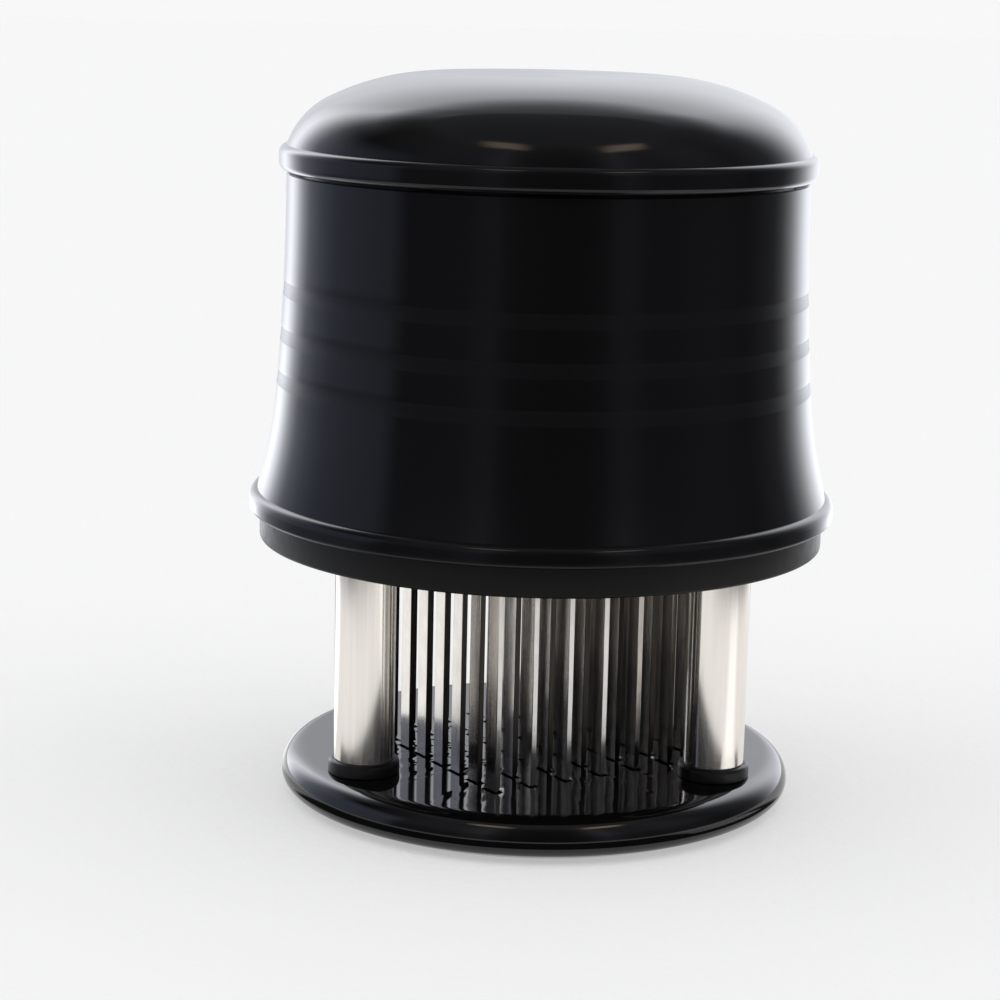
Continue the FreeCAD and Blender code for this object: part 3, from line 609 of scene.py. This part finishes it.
def makeSkirt():
    low, seam = heightsOf("skirt_shell")
    ringRadius = radiusOf("skirt_shell")
    flareFoot = ringRadius - skirt["ringProjection"]
    lip = flareFoot - skirt["lipInset"]
    ringFoot = low + skirt["lipHeight"]
    ringTop = ringFoot + skirt["ringLower"] + skirt["ringFlat"] + skirt["ringUpper"]
    sweepFoot = ringTop + skirt["flareHeight"]
    neck = radiusOf("dome_cap") - dome["rimProjection"]
    axis = neck + skirt["sweepRadius"]
    wall = skirt["wall"]

    def sweepAt(height):
        return axis - math.sqrt(skirt["sweepRadius"] ** 2 - (seam - height) ** 2)

    bm = bmesh.new()
    first = startAt(bm, lip - wall, low)
    last = lineTo(bm, first, lip - skirt["lipRound"], low)
    last = arcTo(bm, last, lip, low + skirt["lipRound"], skirt["lipRound"], steps=6)
    last = lineTo(bm, last, lip, ringFoot)
    last = lineTo(bm, last, ringRadius - skirt["ringLower"], ringFoot)
    last = arcTo(bm, last, ringRadius, ringFoot + skirt["ringLower"], skirt["ringLower"], steps=8)
    last = lineTo(bm, last, ringRadius, ringTop - skirt["ringUpper"])
    last = arcTo(bm, last, flareFoot, ringTop,
                 uprightArc(skirt["ringProjection"], skirt["ringUpper"]), steps=12)
    last = arcTo(bm, last, sweepAt(sweepFoot), sweepFoot, -skirt["flareRadius"], steps=24)
    for rise in skirt["bands"]:
        edge = sweepFoot + rise - skirt["bandWidth"] / 2
        last = arcTo(bm, last, sweepAt(edge), edge, -skirt["sweepRadius"], steps=4)
        last = lineTo(bm, last, sweepAt(edge) - skirt["bandDepth"], edge + skirt["bandSlope"])
        edge += skirt["bandWidth"]
        last = lineTo(bm, last, sweepAt(edge) - skirt["bandDepth"], edge - skirt["bandSlope"])
        last = lineTo(bm, last, sweepAt(edge), edge)
    edge = seam - skirt["seamEdge"]
    last = arcTo(bm, last, sweepAt(edge), edge, -skirt["sweepRadius"], steps=10)
    last = lineTo(bm, last, neck - skirt["seamEdge"], seam)
    webTop = seam - skirt["webTop"]
    webFoot = webTop - skirt["webThickness"]
    for x, z in ((neck - wall, seam), (neck - wall, webTop), (skirt["webOpening"], webTop),
                 (skirt["webOpening"], webFoot), (neck - wall, webFoot)):
        last = lineTo(bm, last, x, z)
    last = arcTo(bm, last, sweepAt(sweepFoot) - wall, sweepFoot, skirt["sweepRadius"], steps=8)
    last = arcTo(bm, last, lip - wall, ringTop, skirt["flareRadius"], steps=10)
    seatBore = lip - wall - skirt["seatWidth"]
    for x, z in ((seatBore, carrierTop + skirt["seatHeight"]), (seatBore, carrierTop),
                 (lip - wall, carrierTop)):
        last = lineTo(bm, last, x, z)
    bm.edges.new((last, first))
    turnAbout(bm, skirt["steps"])
    for face in bm.faces:
        centre = face.calc_center_median()
        fromBand = min(abs(centre.z - sweepFoot - rise) for rise in skirt["bands"])
        if fromBand < skirt["bandWidth"] / 2 and centre.xy.length > sweepAt(centre.z) - wall / 2:
            face.material_index = 1
        elif centre.z < ringFoot - close and centre.xy.length > lip - wall / 2:
            face.material_index = 2
    for place in postPlaces:
        addTube(bm, cup["bore"], cup["bore"] + cup["wall"],
                webFoot - cup["height"], webFoot + rooted, place / mm)
    bossTop = carrierTop + boss["height"]
    for x, y in bossPlaces(lip - wall - boss["inset"]):
        addTube(bm, boss["bore"], boss["radius"], carrierTop, bossTop, (x, y, 0))
    blacks = [finished["glossBlack"], finished["bandBlack"], finished["lipBlack"]]
    piece = pieceFrom(bm, "skirtShell", blacks, skirt["sharpAngle"])
    dress(piece, "head", "black_gloss", "skirt_shell")


# Dome cap, from the seam up to the flat on top

dome = {
    "rimProjection": 1.25,
    "rimLower": 1.2,
    "rimFlat": 1.6,
    "rimUpper": 1.3,
    "stepWidth": 0.25,
    "stepHeight": 0.6,
    "shoulderWidth": 6.4,
    "shoulderHeight": 7.0,
    "flatRadius": 17.7,
    "wall": 2.5,
    "spigotWall": 1.8,
    "spigotFit": 0.15,
    "seam": 0.4,
    "bossPitch": 26.0,
    "innerRing": 1.0,  # inside the crown, where the flat's own shading starts
    "sharpAngle": 20,
    "steps": 240,
}


def makeDome():
    low, high = heightsOf("dome_cap")
    rim = radiusOf("dome_cap")
    neck = rim - dome["rimProjection"]
    foot = heightsOf("skirt_shell")[1] + dome["seam"]
    rimTop = foot + dome["rimLower"] + dome["rimFlat"] + dome["rimUpper"]
    stepTop = rimTop + dome["stepHeight"]
    turn = neck - dome["stepWidth"] - dome["shoulderWidth"]
    turnTop = stepTop + dome["shoulderHeight"]
    crownWidth, crownHeight = turn - dome["flatRadius"], high - turnTop
    crown = uprightArc(crownHeight, crownWidth)
    # The shoulder's arc meets the crown's without a kink
    width, height = dome["shoulderWidth"], dome["shoulderHeight"]
    lean = height * (crown - crownHeight) - width * crownWidth
    shoulder = (width ** 2 + height ** 2) * crown / 2 / lean
    spigot = neck - skirt["wall"] - dome["spigotFit"]
    spigotBore = spigot - dome["spigotWall"]
    bm = bmesh.new()
    first = startAt(bm, spigotBore, low)
    last = lineTo(bm, first, spigot, low)
    last = lineTo(bm, last, spigot, foot)
    last = lineTo(bm, last, neck, foot)
    last = arcTo(bm, last, rim, foot + dome["rimLower"],
                 uprightArc(dome["rimProjection"], dome["rimLower"]), steps=10)
    last = lineTo(bm, last, rim, rimTop - dome["rimUpper"])
    last = arcTo(bm, last, neck, rimTop,
                 uprightArc(dome["rimProjection"], dome["rimUpper"]), steps=10)
    last = lineTo(bm, last, neck - dome["stepWidth"], stepTop)
    last = arcTo(bm, last, turn, turnTop, shoulder, steps=24)
    last = arcTo(bm, last, dome["flatRadius"], high, crown, steps=32)
    last = lineTo(bm, last, dome["flatRadius"] - dome["innerRing"], high)
    lineTo(bm, last, 0, high)
    last = lineTo(bm, first, spigotBore, stepTop)
    last = lineTo(bm, last, turn - dome["wall"] / 2, turnTop - dome["wall"])
    last = lineTo(bm, last, dome["flatRadius"], high - dome["wall"])
    lineTo(bm, last, 0, high - dome["wall"])
    turnAbout(bm, dome["steps"])
    for x, y in bossPlaces(dome["bossPitch"]):
        addTube(bm, boss["bore"], boss["radius"], low, high - dome["wall"] - rooted, (x, y, 0))
    piece = pieceFrom(bm, "domeCap", [finished["glossBlack"]], dome["sharpAngle"])
    dress(piece, "head", "black_gloss", "dome_cap")


makeSkirt()
makeDome()
print("skirt and dome made")


# Carrier in the mouth of the skirt, and the bushes that run on the posts

carrier = {
    "fit": 0.1,
    "bushFit": 0.02,
    "flangeHeight": 1.5,
    "holeRadius": 1.45,
    "sinkRadius": 2.9,
    "sinkDepth": 1.8,
    "edge": 0.2,
    "sharpAngle": 20,
    "steps": 192,
}
bush = {"running": 0.08, "flangeWidth": 1.0, "flangeHeight": 1.5, "edge": 0.2, "steps": 96}


def makeCarrier():
    low, high = heightsOf("blade_carrier")
    radius = radiusOf("blade_carrier")
    below, above = low - through, high + through
    flange = radiusOf("guide_bush_1") + carrier["bushFit"]
    bm = bmesh.new()
    last = startAt(bm, 0, low)
    for x, z in ((radius - carrier["edge"], low), (radius, low + carrier["edge"]),
                 (radius, high), (0, high)):
        last = lineTo(bm, last, x, z)
    turnAbout(bm, carrier["steps"])
    cutter = bmesh.new()
    slotCutter(cutter, carrier["fit"], low, high)
    for place in postPlaces:
        x, y = place.x / mm, place.y / mm
        addRod(cutter, flange - bush["flangeWidth"], below, above, x, y, bush["steps"])
        addRod(cutter, flange, below, low + carrier["flangeHeight"], x, y, bush["steps"])
    for x, y in bossPlaces(carrierScrewPitch):
        addRod(cutter, carrier["holeRadius"], below, above, x, y)
        addRod(cutter, carrier["sinkRadius"], below, low + carrier["sinkDepth"], x, y)
    piece = pieceFrom(carved(bm, cutter), "bladeCarrier", [finished["satinBlack"]],
                      carrier["sharpAngle"])
    dress(piece, "head", "black_satin", "blade_carrier")


def makeBush(number):
    node = f"guide_bush_{number}"
    low, high = heightsOf(node)
    bore = radiusOf(f"post_{number}") + bush["running"]
    flange, flangeTop, edge = radiusOf(node), low + bush["flangeHeight"], bush["edge"]
    sleeve = flange - bush["flangeWidth"]
    bm = bmesh.new()
    first = startAt(bm, bore + edge, low)
    last = first
    for x, z in ((flange - edge, low), (flange, low + edge), (flange, flangeTop),
                 (sleeve, flangeTop), (sleeve, high), (bore, high), (bore, low + edge)):
        last = lineTo(bm, last, x, z)
    bm.edges.new((last, first))
    turnAbout(bm, bush["steps"])
    bmesh.ops.translate(bm, vec=postPlaces[number - 1] / mm, verts=bm.verts)
    piece = pieceFrom(bm, f"guideBush{number}", [finished["bushWhite"]])
    dress(piece, "head", "bush_plastic", node)


makeCarrier()
for number in (1, 2, 3):
    makeBush(number)
print("carrier and bushes made")


# Springs, coiled to the height of their parts; on the shaver they shorten as the head comes down

spring = {"wireRadius": 0.4, "turns": 7, "stepsPerTurn": 40, "wireSides": 12, "sharpAngle": 40}


def makeSpring(number):
    node = f"spring_{number}"
    low, high = heightsOf(node)
    radius = radiusOf(node) - spring["wireRadius"]
    length = high - low - 2 * spring["wireRadius"]
    steps = spring["turns"] * spring["stepsPerTurn"]
    start = Matrix.Translation((radius, 0, low + spring["wireRadius"]))
    bm = bmesh.new()
    bmesh.ops.create_circle(bm, cap_ends=False, segments=spring["wireSides"],
                            radius=spring["wireRadius"],
                            matrix=start @ Matrix.Rotation(math.pi / 2, 4, "X"))
    bmesh.ops.spin(bm, geom=bm.verts[:] + bm.edges[:], cent=(0, 0, 0), axis=up,
                   dvec=(0, 0, length / steps), angle=math.tau * spring["turns"], steps=steps)
    ends = [edge for edge in bm.edges if edge.is_boundary]
    bmesh.ops.holes_fill(bm, edges=ends, sides=spring["wireSides"])
    bmesh.ops.recalc_face_normals(bm, faces=bm.faces)
    bmesh.ops.translate(bm, vec=middleOf(node) / mm, verts=bm.verts)
    piece = pieceFrom(bm, f"spring{number}", [finished["springSteel"]], spring["sharpAngle"])
    dress(piece, "head", "spring_steel", node)
    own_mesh(piece)


for number in (1, 2, 3):
    makeSpring(number)
print("springs made")


# Screws with hexagon sockets, seen from below

postScrew = {"head": 3.4, "headHeight": 1.9, "shank": 1.6, "socket": 1.7, "socketDepth": 0.9}
bothScrews = {"headRound": 0.3, "tipEdge": 0.4, "socketSides": 6, "sharpAngle": 30, "steps": 64}


def makeScrews(name, node, size, places):
    low, high = heightsOf(node)
    head, headTop, shank = size["head"], low + size["headHeight"], size["shank"]
    headRound, tipEdge = bothScrews["headRound"], bothScrews["tipEdge"]
    bm = bmesh.new()
    last = startAt(bm, 0, low)
    last = lineTo(bm, last, head - headRound, low)
    last = arcTo(bm, last, head, low + headRound, headRound, steps=5)
    for x, z in ((head, headTop), (shank, headTop), (shank, high - tipEdge),
                 (shank - tipEdge, high), (0, high)):
        last = lineTo(bm, last, x, z)
    turnAbout(bm, bothScrews["steps"])
    cutter = bmesh.new()
    addRod(cutter, size["socket"], low - through, low + size["socketDepth"],
           sides=bothScrews["socketSides"])
    bm = carved(bm, cutter)
    whole = bmesh.new()
    single = bpy.data.meshes.new("single")
    bm.to_mesh(single)
    bm.free()
    for x, y in places:
        before = len(whole.verts)
        whole.from_mesh(single)
        whole.verts.ensure_lookup_table()
        bmesh.ops.translate(whole, vec=(x, y, 0), verts=whole.verts[before:])
    bpy.data.meshes.remove(single)
    return pieceFrom(whole, name, [finished["screwSteel"]], bothScrews["sharpAngle"])


underPosts = [(place.x / mm, place.y / mm) for place in postPlaces]
postScrews = makeScrews("postScrews", "post_screws", postScrew, underPosts)
dress(postScrews, "guard", "screw_steel", "post_screws")
underBosses = bossPlaces(carrierScrewPitch)
carrierScrews = makeScrews("carrierScrews", "carrier_screws", carrierScrew, underBosses)
dress(carrierScrews, "head", "screw_steel", "carrier_screws")
print("screws made")


# Pieces inside the head keep their solids and take a finish

inside = {
    "blade_clamp": "satinBlack",
    "stop_cap_1": "satinBlack",
    "stop_cap_2": "satinBlack",
    "stop_cap_3": "satinBlack",
    "stop_screws": "screwSteel",
    "cap_screws": "screwSteel",
    "clamp_screws": "screwSteel",
}
for node, finish in inside.items():
    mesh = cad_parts[node].data
    mesh.materials.clear()
    mesh.materials.append(finished[finish])


# Floor, cards and lamps, with their sizes and places in metres

floorSettings = {
    "size": 12.0,
    "drop": 0.00002,
    "colour": (0.56, 0.56, 0.563),
    "glow": 0.44,
    "grain": (520, 2),
    "grainDepth": 0.0004,
    "grainStrength": 0.6,
}
# The camera sees the white, and everything else gets the colour
studio = {"white": 0.94, "colour": (0.93, 0.96, 1.0), "light": 0.26}
# What gloss sees all round, by the turn in degrees and by the rise over the run from the middle
surround = {
    "near": 0.198,
    "far": 0.9,
    "foot": 0.001,
    "height": 1.7,
    "middle": 0.09,
    "turns": ((0, 0.0), (20, 0.04), (27, 0.14), (34, 0.37), (41, 0.66), (47, 0.88), (55, 0.96),
              (65, 0.87), (75, 0.83), (103, 0.80), (109, 0.84), (115, 1.10), (121, 1.40),
              (128, 1.16), (136, 0.60), (144, 0.20), (156, 0.06), (166, 0.0)),
    "rises": ((-0.5, 1.0), (0.1, 1.0), (0.35, 1.12), (0.98, 1.14), (1.12, 0.66), (1.3, 0.30),
              (1.5, 0.18), (2.0, 0.15)),
    "behind": ((0.79, 1.0), (0.84, 0.95), (0.875, 0.88), (0.906, 0.80), (0.927, 0.70),
               (0.951, 0.61), (0.97, 0.53), (0.985, 0.45), (0.9945, 0.38), (1.0, 0.31)),
    "backLight": 2.75,
    "backColour": (0.975, 1.0, 1.06),
    "sideTurns": ((118, 0.0), (140, 0.8), (160, 1.0), (180, 0.9), (199, 0.75), (207, 0.0)),
    "sideRises": ((-0.5, 0.4), (-0.16, 0.7), (-0.08, 1.0), (0.45, 1.0), (0.75, 0.0)),
    "sideLight": 0.66,
    "sideColour": (0.66, 0.72, 1.0),
    "frontTurns": ((0, 0.25), (30, 0.25), (50, 0.0), (170, 0.0), (200, 0.30), (206, 0.42),
                   (214, 0.45), (234, 0.52), (240, 0.85), (246, 0.95), (250, 0.50),
                   (257, 0.18), (270, 0.08), (284, 0.10), (291, 0.28), (296, 0.75),
                   (301, 1.0), (305, 0.75), (310, 0.48), (322, 0.45), (330, 0.55),
                   (342, 0.55), (360, 0.25)),
    "frontRises": ((-0.5, 0.45), (0.15, 0.50), (0.45, 1.0), (0.9, 1.0), (1.4, 0.6), (2.0, 0.5)),
    "frontLight": 0.42,
    "frontColour": (0.86, 0.88, 1.0),
    "top": ((0.8, 0.0), (1.3, 0.06), (1.8, 0.15)),
    "least": 0.03,
}
# Patches of the floor that gloss sees: the distances that they span, and the part of a turn.
# They fade at both ends to the light of the floor beside them.
patches = {
    # Dark sheet of painted shade on the floor right around the foot, seen only in gloss
    "footPaintedShade": {"near": 0.0455, "far": 0.075, "from": 188, "to": 352, "light": 0.04},
    "leftPatch": {"near": 0.047, "far": 0.198, "from": 134, "to": 172, "light": 1.45},
    "rightPatch": {"near": 0.050, "far": 0.198, "from": 310, "to": 340, "light": 1.18},
    # Dark sheet of painted shade on the floor behind the foot, seen only in gloss
    "rearPaintedShade": {"near": 0.050, "far": 0.190, "from": 55, "to": 128, "light": 0.10},
}
everyPatch = {"height": 0.0005, "fadeTurn": 7, "floorLight": 0.93}
panels = {
    "warmLeft": {"width": 0.30, "place": (-0.240, -0.407, 0.86), "light": 3.0},
    "warmRight": {"width": 0.28, "place": (0.341, -0.37, 0.84), "light": 3.1},
}
everyPanel = {
    "height": 0.12,
    "target": (0, 0, 0.1),
    "colour": (1, 0.80, 0.62),
    "fade": ((0, 1.0), (0.2, 0.85), (0.36, 0.3), (0.5, 0.0)),
}
lamps = {
    "overhead": {
        "place": (0.05, 0.12, 1.3), "light": 1.42, "colour": (1.0, 0.99, 0.98), "spread": 110,
    },
    "left": {
        "place": (-1.0, -0.2, 0.9), "light": 0.45, "colour": (0.96, 0.98, 1.0), "spread": 60,
    },
    "right": {
        "place": (1.0, -0.3, 0.9), "light": 0.45, "colour": (1.0, 0.98, 0.96), "spread": 60,
    },
}


class Glow:
    def __init__(self, name):
        self.material = bpy.data.materials.new(name)
        self.material.use_nodes = True
        self.nodes, self.links = self.material.node_tree.nodes, self.material.node_tree.links
        self.nodes.remove(self.nodes["Principled BSDF"])
        self.emission = self.nodes.new("ShaderNodeEmission")
        surface = self.nodes["Material Output"].inputs["Surface"]
        self.links.new(self.emission.outputs["Emission"], surface)

    def start(self, colour, strength):
        self.emission.inputs["Color"].default_value = (*colour, 1)
        self.emission.inputs["Strength"].default_value = strength

    def maths(self, operation, *values):
        node = self.nodes.new("ShaderNodeMath")
        node.operation = operation
        for entry, value in zip(node.inputs, values):
            if isinstance(value, (int, float)):
                entry.default_value = value
            else:
                self.links.new(value, entry)
        return node.outputs[0]

    def place(self):
        coordinates = self.nodes.new("ShaderNodeTexCoord")
        parts = self.nodes.new("ShaderNodeSeparateXYZ")
        self.links.new(coordinates.outputs["Object"], parts.inputs["Vector"])
        return parts.outputs["X"], parts.outputs["Y"], parts.outputs["Z"]

    def turn(self, x, y):
        degrees = self.maths("DIVIDE", self.maths("ARCTAN2", y, x), math.radians(1))
        return self.maths("MODULO", self.maths("ADD", degrees, 360), 360)

    def length(self, first, second):
        squares = [self.maths("MULTIPLY", value, value) for value in (first, second)]
        return self.maths("SQRT", self.maths("ADD", *squares))

    def add(self, colour, strength):
        emission = self.nodes.new("ShaderNodeEmission")
        emission.inputs["Color"].default_value = (*colour, 1)
        self.links.new(strength, emission.inputs["Strength"])
        total = self.nodes.new("ShaderNodeAddShader")
        surface = self.nodes["Material Output"].inputs["Surface"]
        self.links.new(surface.links[0].from_socket, total.inputs[0])
        self.links.new(emission.outputs["Emission"], total.inputs[1])
        self.links.new(total.outputs["Shader"], surface)

    def ramp(self, value, stops):
        # Runs straight from one (value, share) stop to the next
        first, last = stops[0][0], stops[-1][0]
        place = self.maths("DIVIDE", self.maths("SUBTRACT", value, first), last - first)
        ramp = self.nodes.new("ShaderNodeValToRGB")
        ramp.color_ramp.interpolation = "LINEAR"
        elements = ramp.color_ramp.elements
        elements[0].position, elements[1].position = 0, 1
        for stop, share in stops[1:-1]:
            elements.new((stop - first) / (last - first))
        for element, (stop, share) in zip(elements, stops):
            element.color = (share, share, share, 1)
        self.links.new(place, ramp.inputs["Fac"])
        return ramp.outputs["Color"]


def surroundMaterial():
    glow = Glow("surround")
    x, y, z = glow.place()
    z = glow.maths("SUBTRACT", z, surround["middle"])
    turn, run = glow.turn(x, y), glow.length(x, y)
    rise = glow.maths("DIVIDE", z, run)
    straight = glow.maths("DIVIDE", y, glow.length(run, glow.maths("MAXIMUM", z, 0)))

    def level(turns, rises, light):
        byTurn, byRise = glow.ramp(turn, surround[turns]), glow.ramp(rise, surround[rises])
        return glow.maths("MULTIPLY", glow.maths("MULTIPLY", byTurn, byRise), surround[light])

    behind = glow.ramp(straight, surround["behind"])
    back = glow.maths("MULTIPLY", level("turns", "rises", "backLight"), behind)
    glow.start((1, 1, 1), surround["least"])
    glow.add(surround["backColour"], back)
    glow.add((1, 1, 1), glow.ramp(rise, surround["top"]))
    glow.add(surround["sideColour"], level("sideTurns", "sideRises", "sideLight"))
    glow.add(surround["frontColour"], level("frontTurns", "frontRises", "frontLight"))
    return glow.material


def patchMaterial(name, patch):
    glow = Glow(name)
    x, y = glow.place()[:2]
    start, end, fade = patch["from"], patch["to"], everyPatch["fadeTurn"]
    stops = ((start, 1.0), (start + fade, 0.0), (end - fade, 0.0), (end, 1.0))
    floorShare = glow.ramp(glow.turn(x, y), stops)
    more = everyPatch["floorLight"] - patch["light"]
    glow.start((1, 1, 1), patch["light"])
    glow.add((1, 1, 1), glow.maths("MULTIPLY", floorShare, more))
    return glow.material


def panelMaterial(name, panel):
    # Full in the middle and faded at both ends
    glow = Glow(name)
    away = glow.maths("ABSOLUTE", glow.maths("SUBTRACT", glow.place()[0], panel["place"][0]))
    share = glow.ramp(away, [(panel["width"] * part, share) for part, share in everyPanel["fade"]])
    glow.start(everyPanel["colour"], 0)
    glow.add(everyPanel["colour"], glow.maths("MULTIPLY", share, panel["light"]))
    return glow.material


def floorMaterial():
    paper = Paint("floorPaper", floorSettings["colour"], 1.0)
    paper.shader.inputs["Specular IOR Level"].default_value = 0.0
    paper.bump(paper.noise(*floorSettings["grain"]),
               floorSettings["grainDepth"], floorSettings["grainStrength"])
    nodes, links = paper.nodes, paper.links
    glow = nodes.new("ShaderNodeEmission")
    rays = nodes.new("ShaderNodeLightPath")
    level = rays.outputs["Is Camera Ray"]
    for kind in ("Is Glossy Ray", "Is Transmission Ray"):
        either = nodes.new("ShaderNodeMath")
        either.operation = "MAXIMUM"
        links.new(level, either.inputs[0])
        links.new(rays.outputs[kind], either.inputs[1])
        level = either.outputs[0]
    strength = nodes.new("ShaderNodeMath")
    strength.operation = "MULTIPLY"
    strength.inputs[1].default_value = floorSettings["glow"]
    links.new(level, strength.inputs[0])
    links.new(strength.outputs[0], glow.inputs["Strength"])
    total = nodes.new("ShaderNodeAddShader")
    links.new(paper.shader.outputs["BSDF"], total.inputs[0])
    links.new(glow.outputs["Emission"], total.inputs[1])
    links.new(total.outputs["Shader"], nodes["Material Output"].inputs["Surface"])
    return paper.material


def makeFloor():
    bm = bmesh.new()
    bmesh.ops.create_grid(bm, x_segments=1, y_segments=1, size=floorSettings["size"] / 2 / mm)
    bmesh.ops.translate(bm, vec=(0, 0, -floorSettings["drop"] / mm), verts=bm.verts)
    pieceFrom(bm, "floor", [floorMaterial()])


def hideFromAllButGloss(card):
    card.visible_camera = False
    card.visible_diffuse = False
    card.visible_shadow = False
    card.visible_transmission = False


def makeRing(name, corners, start, end, material):
    # A card of (distance, height) corners, swept over part of a turn
    bm = bmesh.new()
    last = startAt(bm, corners[0][0] / mm, corners[0][1] / mm)
    for distance, height in corners[1:]:
        last = lineTo(bm, last, distance / mm, height / mm)
    toStart = Matrix.Rotation(math.radians(start), 3, "Z")
    bmesh.ops.rotate(bm, cent=(0, 0, 0), verts=bm.verts, matrix=toStart)
    bmesh.ops.spin(bm, geom=bm.verts[:] + bm.edges[:], cent=(0, 0, 0), axis=up,
                   angle=math.radians(end - start), steps=end - start)
    card = pieceFrom(bm, name, [material])
    hideFromAllButGloss(card)


def makePanel(name, panel):
    place = Vector(panel["place"])
    bm = bmesh.new()
    bmesh.ops.create_grid(bm, x_segments=1, y_segments=1, size=0.5)
    bmesh.ops.scale(bm, vec=(panel["width"] / mm, everyPanel["height"] / mm, 1), verts=bm.verts)
    way = (place - Vector(everyPanel["target"])).to_track_quat("Z", "Y").to_matrix().to_4x4()
    bmesh.ops.transform(bm, matrix=Matrix.Translation(place / mm) @ way, verts=bm.verts)
    card = pieceFrom(bm, name, [panelMaterial(name, panel)])
    hideFromAllButGloss(card)


def makeLamp(name, lamp):
    # A very wide, soft sun from the side of the place
    light = bpy.data.lights.new(name, "SUN")
    light.energy = lamp["light"]
    light.color = lamp["colour"]
    light.angle = math.radians(lamp["spread"])
    sun = bpy.data.objects.new(name, light)
    sun.matrix_world = Vector(lamp["place"]).to_track_quat("Z", "Y").to_matrix().to_4x4()
    sun.visible_glossy = False
    bpy.context.scene.collection.objects.link(sun)


def makeWorld():
    world = bpy.data.worlds.new("studio")
    bpy.context.scene.world = world
    world.use_nodes = True
    nodes, links = world.node_tree.nodes, world.node_tree.links
    background = nodes["Background"]
    rays = nodes.new("ShaderNodeLightPath")
    white = nodes.new("ShaderNodeBackground")
    white.inputs["Color"].default_value = (1, 1, 1, 1)
    white.inputs["Strength"].default_value = studio["white"]
    background.inputs["Color"].default_value = (*studio["colour"], 1)
    background.inputs["Strength"].default_value = studio["light"]
    mix = nodes.new("ShaderNodeMixShader")
    links.new(rays.outputs["Is Camera Ray"], mix.inputs["Fac"])
    links.new(background.outputs["Background"], mix.inputs[1])
    links.new(white.outputs["Background"], mix.inputs[2])
    links.new(mix.outputs["Shader"], nodes["World Output"].inputs["Surface"])


makeWorld()
makeFloor()
corners = ((surround["near"], surround["foot"]), (surround["far"], surround["foot"]),
           (surround["far"], surround["height"]))
makeRing("surround", corners, 0, 360, surroundMaterial())
for name, patch in patches.items():
    corners = ((patch["near"], everyPatch["height"]), (patch["far"], everyPatch["height"]))
    makeRing(name, corners, patch["from"], patch["to"], patchMaterial(name, patch))
for name, panel in panels.items():
    makePanel(name, panel)
for name, lamp in lamps.items():
    makeLamp(name, lamp)
print("stage made")


# Camera

view = {
    "place": (-0.0220, -0.4398, 0.1381),
    "lens": 95.61,
    "sensor": 36.0,
    "pitch": 11.318,
    "turn": 1.975,
    "roll": 1.276,
    "clipStart": 0.01,
}


def makeCamera():
    camera = bpy.data.objects.new("camera", bpy.data.cameras.new("camera"))
    camera.data.lens = view["lens"]
    camera.data.sensor_width = view["sensor"]
    camera.data.clip_start = view["clipStart"]
    camera.matrix_world = (Matrix.Translation(view["place"])
                           @ Matrix.Rotation(math.radians(-view["turn"]), 4, "Z")
                           @ Matrix.Rotation(math.radians(90 - view["pitch"]), 4, "X")
                           @ Matrix.Rotation(math.radians(view["roll"]), 4, "Z"))
    bpy.context.scene.collection.objects.link(camera)
    bpy.context.scene.camera = camera


makeCamera()
bpy.context.scene.view_settings.view_transform = "Standard"

print("scene finished")
